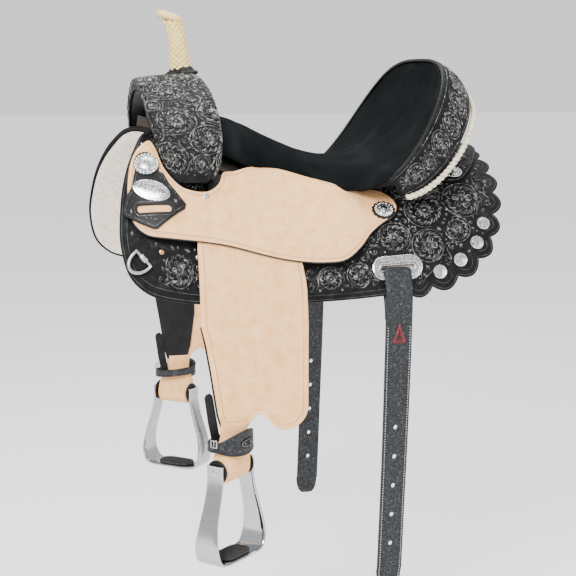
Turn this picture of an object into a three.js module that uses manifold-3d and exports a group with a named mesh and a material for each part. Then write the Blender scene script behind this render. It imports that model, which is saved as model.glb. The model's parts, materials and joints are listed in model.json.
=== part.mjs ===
// Western barrel saddle: tree, skirts, seat, jockeys, fenders, stirrups and rigging as separate solids.
// Millimetres. +X runs towards the cantle, -Y is the near (left) side, +Z is up.
// The origin is on the centre plane, on the lowest point of the back line under the seat.
import * as THREE from 'three';
import { mergeVertices } from 'three/addons/utils/BufferGeometryUtils.js';
import Module from 'manifold-3d';

const wasm = await Module();
wasm.setup();

// ---- driving dimensions ----
const GAP = 0.4; // between pieces that touch
const ARC = 225; // millimetres along a section for one radian of its angle
const BACK_HALF_WIDTH = 240;
const BACK_DEPTH = 200;
const WITHERS_RISE = 110;
const LOIN_RISE = 40;
const RISE_LENGTH = 320;

const FLEECE_THICKNESS = 12;
const SKIRT_THICKNESS = 4;
const JOCKEY_THICKNESS = 4.5;
const KEEPER_THICKNESS = 3;
const PLATE_THICKNESS = 3;

const FENDER_INNER_Y = 242;
const FENDER_OUTER_Y = 249;
const FENDER_MID_Y = (FENDER_INNER_Y + FENDER_OUTER_Y) / 2;
const FENDER_BACKING = 2.8;
const SPLIT_Z = -195; // where the fender bends outwards
const SPLIT_GAP = 4;

const STIRRUP_X = -147;
const STIRRUP_TURN = THREE.MathUtils.degToRad(42);
const BOLT_Z = -405;
const BOLT_RADIUS = 5;
const ROLL_RADIUS = 19;
const STIRRUP_BAND = 4.5;
const TREAD_Z = -540;

const BILLET_X = 108;
const BILLET_WIDTH = 41;
const BILLET_TOP_Z = -208;
const BILLET_END_Z = -612;
const BILLET_Y = 244;

// the cantle's rim and the lacing behind it are two arches over the seat
const RIM = { halfWidth: 208, topX: 218, topZ: 181, endX: 83, endZ: -3, bendX: 0.5, bendY: 0.62, bendZ: 0.8 };
const LACE = { halfWidth: 203, topX: 270, topZ: 132, endX: 112, endZ: -21, bendX: 0.58, bendY: 0.65, bendZ: 1.12 };
const ARCH_SPACING = 1.5; // spreads points evenly along an arch

// ---- materials ----
function finish(color, roughness, metalness = 0) {
  return new THREE.MeshStandardMaterial({ color, roughness, metalness });
}
const tooled = finish(0x26272b, 0.5);
const natural = finish(0xf6d3ae, 0.85);
const suede = finish(0x15191a, 0.95);
const wool = finish(0xdccfc0, 1);
const rawhide = finish(0xe9d59c, 0.6);
const lace = finish(0xe6dcc4, 0.7);
const strap = finish(0x3a3d42, 0.65);
const blackLeather = finish(0x161618, 0.6);
const wood = finish(0xb98d5c, 0.8);
const steel = finish(0x8d9094, 0.4, 1);
const silver = finish(0xd9d9dc, 0.25, 1);
const aluminium = finish(0xc8cacd, 0.2, 1);
const rubber = finish(0x1b1b1c, 0.9);

// ---- small helpers ----
function smoothStep(value) {
  const v = THREE.MathUtils.clamp(value, 0, 1);
  return v * v * (3 - 2 * v);
}

function vec(x, y, z) {
  return new THREE.Vector3(x, y, z);
}

/** A geometry from points and triangles, turned so that its faces point out. */
function solidFrom(points, triangles) {
  let volume = 0;
  const cross = vec(0, 0, 0);
  for (const [a, b, c] of triangles) {
    volume += points[a].dot(cross.crossVectors(points[b], points[c]));
  }
  const faces = volume < 0 ? triangles.map(([a, b, c]) => [a, c, b]) : triangles;
  const geometry = new THREE.BufferGeometry();
  geometry.setAttribute('position', new THREE.Float32BufferAttribute(points.flatMap((p) => p.toArray()), 3));
  geometry.setIndex(faces.flat());
  geometry.computeVertexNormals();
  return geometry;
}

/** A closed solid between two grids of points, low[i][j] and high[i][j]. */
function block(low, high) {
  const rows = low.length;
  const columns = low[0].length;
  const points = [...low.flat(), ...high.flat()];
  const top = rows * columns;
  const at = (i, j, level) => level * top + i * columns + j;
  const faces = [];
  const quad = (a, b, c, d) => faces.push([a, b, c], [a, c, d]);
  for (let i = 0; i + 1 < rows; i += 1) {
    for (let j = 0; j + 1 < columns; j += 1) {
      quad(at(i, j, 1), at(i + 1, j, 1), at(i + 1, j + 1, 1), at(i, j + 1, 1));
      quad(at(i, j, 0), at(i, j + 1, 0), at(i + 1, j + 1, 0), at(i + 1, j, 0));
    }
  }
  for (let i = 0; i + 1 < rows; i += 1) {
    quad(at(i, 0, 0), at(i + 1, 0, 0), at(i + 1, 0, 1), at(i, 0, 1));
    quad(at(i + 1, columns - 1, 0), at(i, columns - 1, 0), at(i, columns - 1, 1), at(i + 1, columns - 1, 1));
  }
  for (let j = 0; j + 1 < columns; j += 1) {
    quad(at(0, j + 1, 0), at(0, j, 0), at(0, j, 1), at(0, j + 1, 1));
    quad(at(rows - 1, j, 0), at(rows - 1, j + 1, 0), at(rows - 1, j + 1, 1), at(rows - 1, j, 1));
  }
  return solidFrom(points, faces);
}

/** A solid through rings of points. An open run of rings gets end caps; a looped one joins up. */
function loft(rings, looped = false) {
  const size = rings[0].length;
  const points = rings.flat();
  const faces = [];
  const last = looped ? rings.length : rings.length - 1;
  for (let i = 0; i < last; i += 1) {
    const next = (i + 1) % rings.length;
    for (let j = 0; j < size; j += 1) {
      const k = (j + 1) % size;
      faces.push([i * size + j, next * size + j, next * size + k]);
      faces.push([i * size + j, next * size + k, i * size + k]);
    }
  }
  if (!looped) {
    const end = (rings.length - 1) * size;
    for (let j = 1; j + 1 < size; j += 1) {
      faces.push([0, j, j + 1]);
      faces.push([end, end + j + 1, end + j]);
    }
  }
  return solidFrom(points, faces);
}

/** A manifold-3d solid from a geometry; one that already is a solid stays as it is. */
function toManifold(geometry) {
  if (geometry instanceof wasm.Manifold) {
    return geometry;
  }
  const bare = geometry.clone();
  bare.deleteAttribute('normal');
  bare.deleteAttribute('uv');
  const merged = mergeVertices(bare, 1e-4);
  return new wasm.Manifold(new wasm.Mesh({
    numProp: 3,
    vertProperties: new Float32Array(merged.attributes.position.array),
    triVerts: new Uint32Array(merged.index.array),
  }));
}

function toGeometry(solid) {
  const mesh = solid.getMesh();
  const geometry = new THREE.BufferGeometry();
  geometry.setAttribute('position', new THREE.Float32BufferAttribute(mesh.vertProperties, 3));
  geometry.setIndex(Array.from(mesh.triVerts));
  geometry.computeVertexNormals();
  return geometry;
}

function cut(geometry, ...tools) {
  return toGeometry(tools.reduce((solid, tool) => solid.subtract(toManifold(tool)), toManifold(geometry)));
}

/** Points along a smooth curve through the given [a, b] pairs. */
function curvePoints(pairs, count, closed = true) {
  const curve = new THREE.CatmullRomCurve3(pairs.map(([a, b]) => vec(a, b, 0)), closed, 'centripetal');
  const points = curve.getSpacedPoints(count).map((p) => [p.x, p.y]);
  return closed ? points.slice(0, -1) : points;
}

/** A slot or oval outline round a centre: straight sides, round ends. */
function racetrack(a, b, length, width, tilt = 0, steps = 5) {
  const outline = [];
  const radius = width / 2;
  const straight = length / 2 - radius;
  for (const end of [1, -1]) {
    for (let i = 0; i <= steps; i += 1) {
      const angle = (i / steps - 0.5) * Math.PI + (end < 0 ? Math.PI : 0);
      outline.push([end * straight + radius * Math.cos(angle), radius * Math.sin(angle)]);
    }
  }
  const cos = Math.cos(tilt);
  const sin = Math.sin(tilt);
  return outline.map(([u, v]) => [a + u * cos - v * sin, b + u * sin + v * cos]);
}

// ---- the shape of the back ----
function ridge(x) {
  const rise = x < 0 ? WITHERS_RISE : LOIN_RISE;
  return rise * 0.5 * (1 - Math.cos(Math.PI * Math.min(1, Math.abs(x) / RISE_LENGTH)));
}

/** The near-side point at station x, s millimetres down the section and n proud of it. */
function onBack(x, s, n) {
  const angle = s / ARC;
  const depth = BACK_DEPTH + 1.2 * ridge(x);
  const y = (BACK_HALF_WIDTH + n) * Math.sin(angle);
  return vec(x, -y, ridge(x) - depth + (depth + n) * Math.cos(angle));
}

function heightAt(level, x, s) {
  return typeof level === 'number' ? level : level(x, s);
}

const REACH = 150; // how far a cutter runs each side of the back's surface

/** A tall prism standing on the back over an outline in x and s. */
function backPrism(outline, holes = []) {
  const contours = [outline, ...holes];
  const flat = contours.map((c) => c.map(([x, s]) => new THREE.Vector2(x, s)));
  if (THREE.ShapeUtils.area(flat[0]) < 0) {
    flat[0].reverse();
  }
  for (const hole of flat.slice(1)) {
    if (THREE.ShapeUtils.area(hole) > 0) {
      hole.reverse();
    }
  }
  const caps = THREE.ShapeUtils.triangulateShape(flat[0], flat.slice(1));
  const all = flat.flat();
  const points = [
    ...all.map((p) => onBack(p.x, p.y, -REACH)),
    ...all.map((p) => onBack(p.x, p.y, REACH)),
  ];
  const count = all.length;
  const faces = caps.flatMap(([a, b, c]) => [[a, b, c], [a + count, c + count, b + count]]);
  let start = 0;
  for (const contour of flat) {
    for (let i = 0; i < contour.length; i += 1) {
      const a = start + i;
      const b = start + (i + 1) % contour.length;
      faces.push([a, a + count, b + count], [a, b + count, b]);
    }
    start += contour.length;
  }
  return solidFrom(points, faces);
}

const GRID_X = 45;
const GRID_S = 30;

/** A sheet lying over the back between two heights, cut to an outline in x and s. */
function backSolid(outline, low, high, holes = []) {
  const xs = outline.map(([x]) => x);
  const ss = outline.map(([, s]) => s);
  const firstX = Math.floor(Math.min(...xs) / GRID_X - 0.01);
  const lastX = Math.ceil(Math.max(...xs) / GRID_X + 0.01);
  const firstS = Math.floor(Math.min(...ss) / GRID_S - 0.01);
  const lastS = Math.ceil(Math.max(...ss) / GRID_S + 0.01);
  const grid = (level) => {
    const rows = [];
    for (let i = firstX; i <= lastX; i += 1) {
      const row = [];
      for (let j = firstS; j <= lastS; j += 1) {
        const x = i * GRID_X;
        const s = j * GRID_S;
        row.push(onBack(x, s, heightAt(level, x, s)));
      }
      rows.push(row);
    }
    return rows;
  };
  const slab = toManifold(block(grid(low), grid(high)));
  return slab.intersect(toManifold(backPrism(outline, holes)));
}

function backSheet(outline, low, high, holes = []) {
  return toGeometry(backSolid(outline, low, high, holes));
}

/** The outward direction of a surface that lies `level` above the back, on one side. */
function outward(x, s, level, side) {
  const step = 8;
  const at = (a, b) => onBack(a, b, heightAt(level, a, b));
  const alongX = at(x + step, s).sub(at(x - step, s));
  const alongS = at(x, s + step).sub(at(x, s - step));
  const normal = alongS.cross(alongX).normalize();
  if (normal.z < 0) {
    normal.negate();
  }
  return vec(normal.x, -side * normal.y, normal.z);
}

/** How far the seat jockey's underside stands off the skirt: down at both ends, up over the bars and leathers. */
function jockeyLift(x, s) {
  const over = smoothStep((x + 285) / 70) * smoothStep((92 - x) / 60);
  return 4.8 + over * (20.2 - 7.5 * smoothStep((s - 125) / 50));
}
const jockeyTop = (x, s) => jockeyLift(x, s) + JOCKEY_THICKNESS;
const keeperLow = (x, s) => jockeyTop(x, s) + GAP;
const keeperTop = (x, s) => keeperLow(x, s) + KEEPER_THICKNESS;

// ---- outlines in x and s ----
const scallopCusps = [
  [122, 308], [163, 302], [205, 289], [240, 266], [264, 236], [276, 201],
  [286, 163], [288, 122], [288, 82], [287, 44], [285, 6],
];

/** Round lobes, one between each pair of cusps. */
function scallops(cusps, bulge, steps = 3) {
  const points = [];
  for (let i = 0; i + 1 < cusps.length; i += 1) {
    const [ax, as] = cusps[i];
    const [bx, bs] = cusps[i + 1];
    const length = Math.hypot(bx - ax, bs - as);
    const out = [-(bs - as) / length, (bx - ax) / length];
    for (let k = 0; k < steps; k += 1) {
      const part = k / steps;
      const lift = bulge * Math.sin(Math.PI * part);
      points.push([ax + (bx - ax) * part + out[0] * lift, as + (bs - as) * part + out[1] * lift]);
    }
  }
  points.push(cusps[cusps.length - 1]);
  return points;
}

const skirtFront = curvePoints([
  [150, 8], [60, 34], [-60, 52], [-215, 66], [-243, 88], [-267, 134], [-287, 183], [-296, 222], [-298, 252],
  [-288, 284], [-264, 302], [-225, 311], [-120, 318], [0, 318], [85, 313], [122, 308],
], 34, false);
const skirtOutline = [...skirtFront.slice(0, -1), ...scallops(scallopCusps, 13), [220, 6]];

const fleeceOutline = curvePoints([
  [150, 16], [60, 40], [-60, 58], [-205, 72], [-240, 90], [-264, 136], [-284, 183], [-293, 222], [-295, 250],
  [-285, 281], [-262, 298], [-225, 306], [-120, 313], [0, 313], [85, 309], [160, 297], [200, 284], [235, 262],
  [258, 233], [271, 198], [280, 160], [282, 120], [282, 60], [278, 16],
], 36);

const jockeyOutline = curvePoints([
  [-244, 128], [-261, 138], [-274, 158], [-282, 186], [-284, 210], [-278, 232], [-262, 244], [-232, 248],
  [-143, 247], [-56, 257], [-5, 260], [28, 257], [56, 237], [78, 212], [99, 196], [119, 185], [127, 170],
  [122, 148], [105, 129], [81, 124], [49, 131], [13, 108], [-23, 80], [-48, 78], [-90, 106], [-119, 131],
  [-138, 142], [-148, 162], [-166, 179], [-187, 185], [-208, 183], [-227, 165], [-237, 138],
], 50);

const keeperOutline = [
  ...racetrack(-253, 165, 36, 36, 0, 4).filter(([, s]) => s < 172),
  [-230, 174], [-224, 185], [-213, 196], [-202, 207], [-204, 213], [-246, 239], [-252, 239], [-291, 226],
  [-292, 220], [-285, 203], [-277, 193], [-273, 180],
].sort(([ax, as], [bx, bs]) => Math.atan2(as - 200, ax + 250) - Math.atan2(bs - 200, bx + 250));
const keeperSlot = racetrack(-248, 217, 48, 8, -0.05, 3);

const barOutline = curvePoints([
  [-230, 72], [-233, 100], [-216, 120], [-120, 125], [60, 121], [160, 117], [194, 96], [194, 70], [150, 60],
  [0, 64], [-150, 68],
], 22);
const barTop = (x) => 15 + 7 * smoothStep((Math.abs(x + 20) - 105) / 60);

const rearJockeyHalf = curvePoints([
  [298, 0], [300, 40], [284, 84], [258, 122], [236, 137], [214, 130], [205, 100], [206, 50], [212, 0],
], 11, false);
const rearJockeyOutline = [
  ...rearJockeyHalf, ...rearJockeyHalf.slice(1, -1).reverse().map(([x, s]) => [x, -s]),
];

const REAR_PLATE = [110, 270];
const FRONT_PLATE = [-125, 281];
const SLOT_LENGTH = 55;
const SLOT_WIDTH = 9;
const rearSlot = racetrack(REAR_PLATE[0], REAR_PLATE[1] + 1, SLOT_LENGTH, SLOT_WIDTH, 0, 3);
const frontSlot = racetrack(FRONT_PLATE[0], FRONT_PLATE[1], 76, 11, 0, 3);

// ---- seat ----
// centre x, centre z, edge x, edge z, half width of each cross-section, from the fork to the cantle's rim
const seatStations = [
  [-126, 98, -126, 34, 122], [-88, 86, -88, 17, 123], [-40, 63, -40, 10, 103], [10, 42, 5, -3, 126],
  [62, 32, 42, -17, 150], [112, 38, 66, -16, 158], [150, 60, 76, -10, 180], [182, 95, 82, -6, 194],
  [205, 138, 83, -4, 203], [RIM.topX, RIM.topZ, RIM.endX, RIM.endZ, RIM.halfWidth],
];
const LAST_STATION = seatStations.length - 1;

/** The seat's top at station u along it and v across it, both smooth, v from -1 to 1. */
function seatTop(u, v) {
  const i = Math.min(Math.floor(u), LAST_STATION - 1);
  const part = u - i;
  const mix = (k) => THREE.MathUtils.lerp(seatStations[i][k], seatStations[i + 1][k], part);
  const dish = smoothStep((u - 4) / 5);
  const angle = Math.abs(v) ** THREE.MathUtils.lerp(1, ARCH_SPACING, dish) * Math.PI / 2;
  const cos = Math.max(0, Math.cos(angle));
  const reach = Math.sign(v) * Math.sin(angle) ** THREE.MathUtils.lerp(1, RIM.bendY, dish);
  const bendX = cos ** THREE.MathUtils.lerp(1, RIM.bendX, dish);
  const bendZ = cos ** THREE.MathUtils.lerp(0.8, RIM.bendZ, dish);
  return vec(mix(2) + (mix(0) - mix(2)) * bendX, mix(4) * reach, mix(3) + (mix(1) - mix(3)) * bendZ);
}

function seatNormal(u, v) {
  const step = 0.04;
  const back = Math.min(u + step, LAST_STATION);
  const front = Math.max(u - step, 0);
  const wide = Math.min(v + step, 0.98);
  const narrow = Math.max(v - step, -0.98);
  const alongU = seatTop(back, v).sub(seatTop(front, v));
  const alongV = seatTop(u, wide).sub(seatTop(u, narrow));
  return alongU.cross(alongV).normalize();
}

function seatAt(u, v, depth) {
  return seatTop(u, v).addScaledVector(seatNormal(u, v), -depth);
}

function seatLayer(firstU, lastU, halfV, nearDepth, farDepth, columns) {
  const grid = (depthOf) => {
    const rows = [];
    for (let u = firstU; u <= lastU; u += 1) {
      const row = [];
      for (let j = -columns; j <= columns; j += 1) {
        const v = halfV * j / columns;
        row.push(seatAt(u, v, depthOf(u, v)));
      }
      rows.push(row);
    }
    return rows;
  };
  return block(grid(farDepth), grid(nearDepth));
}

const seatDepth = (u, v) => 9 - 4.5 * smoothStep((u - 5) / 4) - 1.5 * Math.abs(v);

/** The seat, trimmed where its side edges run in under the seat jockeys. */
function makeSeat() {
  const underJockey = backSolid(jockeyOutline, (x, s) => jockeyLift(x, s) - GAP, (x, s) => jockeyLift(x, s) + 40);
  const layer = toManifold(seatLayer(0, LAST_STATION, 0.97, () => 0, seatDepth, 8));
  const trimmed = layer.subtract(underJockey).subtract(underJockey.mirror([0, 1, 0]));
  const largest = trimmed.decompose().sort((a, b) => b.volume() - a.volume())[0];
  return toGeometry(largest);
}

function makeGroundSeat() {
  return seatLayer(1, 5, 0.28, () => 10, () => 14, 3);
}

// ---- cantle ----
function archPoint(arch, turn) {
  const angle = (Math.abs(turn) / (Math.PI / 2)) ** ARCH_SPACING * Math.PI / 2;
  const cos = Math.max(0, Math.cos(angle));
  const x = arch.endX + (arch.topX - arch.endX) * cos ** arch.bendX;
  const z = arch.endZ + (arch.topZ - arch.endZ) * cos ** arch.bendZ;
  return vec(x, Math.sign(turn) * arch.halfWidth * Math.sin(angle) ** arch.bendY, z);
}

const BINDING_SPAN = THREE.MathUtils.degToRad(87);

/** A point on the cantle's back: w from 0 at the rim to 1 at the lacing, off it by `out`. */
function cantleBack(angle, w, out) {
  const rim = archPoint(RIM, angle);
  const edge = archPoint(LACE, angle);
  const across = edge.clone().sub(rim);
  const along = archPoint(RIM, angle + 0.03).sub(archPoint(RIM, angle - 0.03));
  const normal = along.cross(across).normalize();
  if (normal.z < 0 && Math.abs(angle) < 1) {
    normal.negate();
  }
  if (normal.x < 0) {
    normal.negate();
  }
  const bow = 7 * Math.sin(Math.PI * w) * Math.cos(angle);
  return rim.addScaledVector(across, w).addScaledVector(normal, out + bow);
}

function makeBinding() {
  const low = [];
  const high = [];
  for (let i = -14; i <= 14; i += 1) {
    const angle = BINDING_SPAN * i / 14;
    low.push([0.1, 0.4, 0.7, 0.98].map((w) => cantleBack(angle, w, 0)));
    high.push([0.1, 0.4, 0.7, 0.98].map((w) => cantleBack(angle, w, 4)));
  }
  return block(low, high);
}

function makeLacing() {
  const rings = [];
  for (let i = -20; i <= 20; i += 1) {
    const angle = BINDING_SPAN * i / 20;
    const centre = cantleBack(angle, 1.11, 2.4);
    const across = cantleBack(angle, 1.3, 2.4).sub(cantleBack(angle, 1, 2.4)).normalize();
    const out = cantleBack(angle, 1.1, 4).sub(cantleBack(angle, 1.1, 0)).normalize();
    const ring = [];
    for (let k = 0; k < 6; k += 1) {
      const turn = Math.PI * k / 3;
      ring.push(centre.clone().addScaledVector(across, 4.4 * Math.cos(turn)).addScaledVector(out, 4.8 * Math.sin(turn)));
    }
    rings.push(ring);
  }
  return loft(rings);
}

function makeTreeCantle() {
  const rings = [];
  for (let i = -9; i <= 9; i += 1) {
    const v = 0.66 * i / 9;
    const angle = v * Math.PI / 2;
    const corner = (alongBack, alongDish) => {
      const rim = archPoint(RIM, angle);
      const back = archPoint(LACE, angle).sub(rim).multiplyScalar(alongBack);
      const dish = seatTop(6.4, v).sub(rim).multiplyScalar(alongDish);
      return rim.clone().add(back).add(dish);
    };
    rings.push([corner(0.2, 0.2), corner(0.82, 0.1), corner(0.62, 0.36), corner(0.26, 0.6)]);
  }
  return loft(rings);
}

// ---- fork and horn ----
// y and z of the outer face, height of the underside over the back, its s, and the front and rear x
const forkStations = [
  [0, 158, 40, 0, -244, -155], [42, 153, 40, 34, -244, -146], [84, 132, 35, 66, -243, -138],
  [118, 108, 28.5, 92, -241, -136], [144, 84, 26, 114, -237, -137], [163, 62, 26, 130, -234, -140],
  [176, 40, 24, 143, -230, -145], [183, 18, 20, 155, -221, -153], [186, 4, 15, 167, -209, -168],
];

function forkRings(inset, drop) {
  const half = forkStations.map(([y, z, under, s, front, rear]) => {
    const topZ = (x) => z - inset + 0.1 * (x + 195) * Math.exp(-((y / 60) ** 2));
    const outerY = Math.max(0, y - inset * (y > 0 ? 1 : 0));
    const foot = (x) => onBack(x, s, under - drop);
    const f = front + inset;
    const r = rear - inset;
    const shoulder = Math.min(10, (r - f) * 0.2);
    const at = (x, blend) => {
      const low = foot(x);
      return vec(x, THREE.MathUtils.lerp(low.y, -outerY, blend), THREE.MathUtils.lerp(low.z, topZ(x), blend));
    };
    return [at(f, 0), at(f, 0.86), at(f + shoulder, 1), at((f + r) / 2, 1.03), at(r - shoulder, 1), at(r, 0.84), at(r, 0)];
  });
  const mirroredHalf = half.slice(1).map((ring) => ring.map((p) => vec(p.x, -p.y, p.z)));
  return [...mirroredHalf.reverse(), ...half];
}

const HORN_X = -171;
const hornPath = [[HORN_X, 150, 15], [HORN_X - 1, 159, 14.5], [HORN_X - 3, 184, 12.5], [HORN_X - 5, 206, 11],
  [HORN_X - 8, 224, 11], [HORN_X - 13, 240, 13]];

function hornNeck(grow, first = 0) {
  return loft(hornPath.slice(first).map(([x, z, radius]) => {
    const ring = [];
    for (let k = 0; k < 10; k += 1) {
      const turn = Math.PI * k / 5;
      ring.push(vec(x + (radius + grow) * Math.cos(turn), (radius + grow) * Math.sin(turn), z));
    }
    return ring;
  }));
}

function hornCap(grow) {
  const cap = new THREE.SphereGeometry(1, 12, 8);
  cap.rotateX(Math.PI / 2);
  cap.scale(21 + grow, 20 + grow, 7.5 + grow);
  cap.rotateY(THREE.MathUtils.degToRad(20));
  cap.translate(HORN_X - 18, 0, 246);
  return cap;
}

function join(first, second) {
  return toManifold(first).add(toManifold(second));
}

const WRAP = 3;

function makeHornWrap() {
  return cut(join(hornNeck(0, 1), hornCap(0)), hornNeck(-WRAP + GAP), hornCap(-WRAP + GAP));
}

function makeHornCore() {
  return toGeometry(join(hornNeck(-WRAP), hornCap(-WRAP)));
}

function makeSwellCover() {
  return cut(loft(forkRings(0, 0)), loft(forkRings(4, 12)), hornNeck(GAP));
}

function makeTreeFork() {
  const core = toManifold(loft(forkRings(4 + GAP, 12))).intersect(toManifold(loft(forkRings(0, 0))));
  return cut(core, hornNeck(-WRAP + GAP));
}

// ---- fender, leathers and stirrup ----
/** A flat piece in the fender's plane, from inner to outer distance from the centre plane. */
function hangingPlate(outline, inner, outer) {
  const shape = new THREE.Shape(outline.map(([x, z]) => new THREE.Vector2(x, z)));
  const geometry = new THREE.ExtrudeGeometry(shape, { depth: outer - inner, bevelEnabled: false });
  geometry.rotateX(Math.PI / 2);
  geometry.translate(0, -inner, 0);
  return geometry;
}

const fenderUpperOutline = [
  [-189, SPLIT_Z + SPLIT_GAP / 2], [-34, SPLIT_Z + SPLIT_GAP / 2], [-36, -128], [-46, -118], [-184, -112],
  [-190, -120],
];

const fenderOutline = [
  [-188, SPLIT_Z - SPLIT_GAP / 2], [-182, -222], [-175, -262], [-165, -327], [-160, -345], [-121, -345],
  ...curvePoints([[-119, -341], [-114, -335], [-104, -328], [-94, -332], [-82, -347], [-68, -354],
    [-46, -348], [-34, -334], [-31, -318]], 14, false),
  [-31, SPLIT_Z - SPLIT_GAP / 2],
];

const leatherOutline = [
  [-190, SPLIT_Z - SPLIT_GAP / 2], [-184, -224], [-177, -264], [-167, -329], [-162, -345], [-127, -345],
  [-120, -322], [-112, -262], [-112, SPLIT_Z - SPLIT_GAP / 2],
];

function makeStirrupLeatherTop() {
  const outline = [[-162, 131], [-90, 131], [-90, 240], [-100, 247], [-152, 247], [-162, 240]];
  return backSheet(outline, SKIRT_THICKNESS + GAP, SKIRT_THICKNESS + GAP + 8);
}

function makeStirrupRoll() {
  const width = 62;
  const shape = new THREE.Shape();
  const outline = [[5, 46], [-5, 46], [-9, 30]];
  for (let i = 0; i <= 10; i += 1) {
    const turn = Math.PI * (0.86 + 1.28 * i / 10);
    outline.push([ROLL_RADIUS * Math.cos(turn), ROLL_RADIUS * Math.sin(turn)]);
  }
  outline.push([9, 30]);
  shape.setFromPoints(outline.map(([x, y]) => new THREE.Vector2(x, y)));
  const hole = new THREE.Path();
  hole.absarc(0, 0, BOLT_RADIUS + GAP, 0, 2 * Math.PI, true);
  shape.holes.push(hole);
  const roll = new THREE.ExtrudeGeometry(shape, { depth: width, bevelEnabled: false, curveSegments: 8 });
  roll.translate(0, 0, -width / 2);
  roll.rotateX(Math.PI / 2);
  roll.rotateZ(Math.PI / 2);
  const position = roll.attributes.position;
  for (let i = 0; i < position.count; i += 1) {
    const narrow = 1 - 0.36 * smoothStep((position.getZ(i) - 2) / 17);
    position.setX(i, position.getX(i) * narrow);
  }
  roll.translate(0, 0, BOLT_Z);
  return roll;
}

// half width, z and depth of the stirrup's band from the top of a leg to the middle of the tread
const stirrupStations = [
  [37, -395, 28], [37.5, -418, 28], [41, -438, 28], [47, -458, 29], [54, -480, 32], [58, -502, 38],
  [58, -518, 42], [53, -532, 44], [43, TREAD_Z + 1.6, 45], [22, TREAD_Z, 45], [0, TREAD_Z, 45],
];

function makeStirrup() {
  const left = stirrupStations.map(([half, z, depth]) => [-half, z, depth]);
  const right = stirrupStations.slice(0, -1).reverse();
  const path = [...left, ...right];
  const rings = path.map(([x, z, depth], i) => {
    const [ax, az] = path[Math.max(0, i - 1)];
    const [bx, bz] = path[Math.min(path.length - 1, i + 1)];
    const length = Math.hypot(bx - ax, bz - az);
    const nx = -(bz - az) / length * STIRRUP_BAND / 2;
    const nz = (bx - ax) / length * STIRRUP_BAND / 2;
    return [
      vec(x + nx, -depth / 2, z + nz), vec(x + nx, depth / 2, z + nz),
      vec(x - nx, depth / 2, z - nz), vec(x - nx, -depth / 2, z - nz),
    ];
  });
  const eye = new THREE.CylinderGeometry(BOLT_RADIUS + GAP, BOLT_RADIUS + GAP, 100, 12);
  eye.rotateZ(Math.PI / 2);
  eye.translate(0, 0, BOLT_Z);
  return cut(loft(rings), eye);
}

function makeTread() {
  const pad = new THREE.Shape(racetrack(0, 0, 66, 36, 0, 3).map(([x, y]) => new THREE.Vector2(x, y)));
  const geometry = new THREE.ExtrudeGeometry(pad, { depth: 5, bevelEnabled: false });
  geometry.translate(0, 0, TREAD_Z + STIRRUP_BAND / 2 + 3 * GAP);
  return geometry;
}

function makeBolt() {
  const profile = [[0, -44], [8, -44], [8, -40.5], [BOLT_RADIUS, -40.5], [BOLT_RADIUS, 40.5], [8, 40.5], [8, 44], [0, 44]];
  const bolt = new THREE.LatheGeometry(profile.map(([r, h]) => new THREE.Vector2(r, h)), 10);
  bolt.rotateZ(Math.PI / 2);
  bolt.translate(0, 0, BOLT_Z);
  return bolt;
}

function makeHobbleStrap() {
  const rings = [];
  const count = 24;
  for (let i = 0; i < count; i += 1) {
    const turn = 2 * Math.PI * i / count;
    const swell = Math.max(0, Math.cos(turn + 1.2)) ** 1.4;
    const half = 6.5 + 12 * swell;
    const centreZ = -367 + 4 * Math.cos(turn);
    const inner = [33 * Math.cos(turn), 21.6 * Math.sin(turn)];
    const outer = [36 * Math.cos(turn), 24.6 * Math.sin(turn)];
    rings.push([
      vec(...inner, centreZ - half), vec(...inner, centreZ + half),
      vec(...outer, centreZ + half), vec(...outer, centreZ - half),
    ]);
  }
  return loft(rings, true);
}

function makeHobbleBuckle() {
  const rings = [];
  const count = 12;
  for (let i = 0; i < count; i += 1) {
    const turn = 2 * Math.PI * i / count;
    const squareness = 1 / Math.max(Math.abs(Math.cos(turn)), Math.abs(Math.sin(turn))) ** 0.6;
    const reach = (r) => [r * squareness * Math.cos(turn), 1.2 * r * squareness * Math.sin(turn)];
    const inner = reach(7);
    const outer = reach(9.6);
    rings.push([
      vec(-41, inner[0], inner[1] - 362), vec(-38.5, inner[0], inner[1] - 362),
      vec(-38.5, outer[0], outer[1] - 362), vec(-41, outer[0], outer[1] - 362),
    ]);
  }
  return loft(rings, true);
}

// ---- billets and rigging ----
/** A closed strap in the y-z plane, as wide as the billet, round a centre line. */
function strapLoop(line, thickness, width) {
  const rings = line.map(([y, z], i) => {
    const [ay, az] = line[(i + line.length - 1) % line.length];
    const [by, bz] = line[(i + 1) % line.length];
    const length = Math.hypot(by - ay, bz - az);
    const ny = -(bz - az) / length * thickness / 2;
    const nz = (by - ay) / length * thickness / 2;
    return [
      vec(-width / 2, y + ny, z + nz), vec(width / 2, y + ny, z + nz),
      vec(width / 2, y - ny, z - nz), vec(-width / 2, y - ny, z - nz),
    ];
  });
  const loop = loft(rings, true);
  loop.translate(BILLET_X, 0, 0);
  return loop;
}

function makeBilletLoop() {
  const front = [275, 284, 296, 309].map((s) => onBack(BILLET_X, s, 10.8));
  const rear = [312, 298, 284, 272].map((s) => onBack(BILLET_X, s, -3.4));
  const throughSlot = [onBack(BILLET_X, 270.5, 0.5), onBack(BILLET_X, 271.5, 7)];
  const line = [...front, vec(0, -247, -182), vec(0, -246.4, -200), vec(0, -241.6, -200), vec(0, -239, -184),
    ...rear, ...throughSlot].map((p) => [p.y, p.z]);
  return strapLoop(line, 3.2, BILLET_WIDTH);
}

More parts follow.
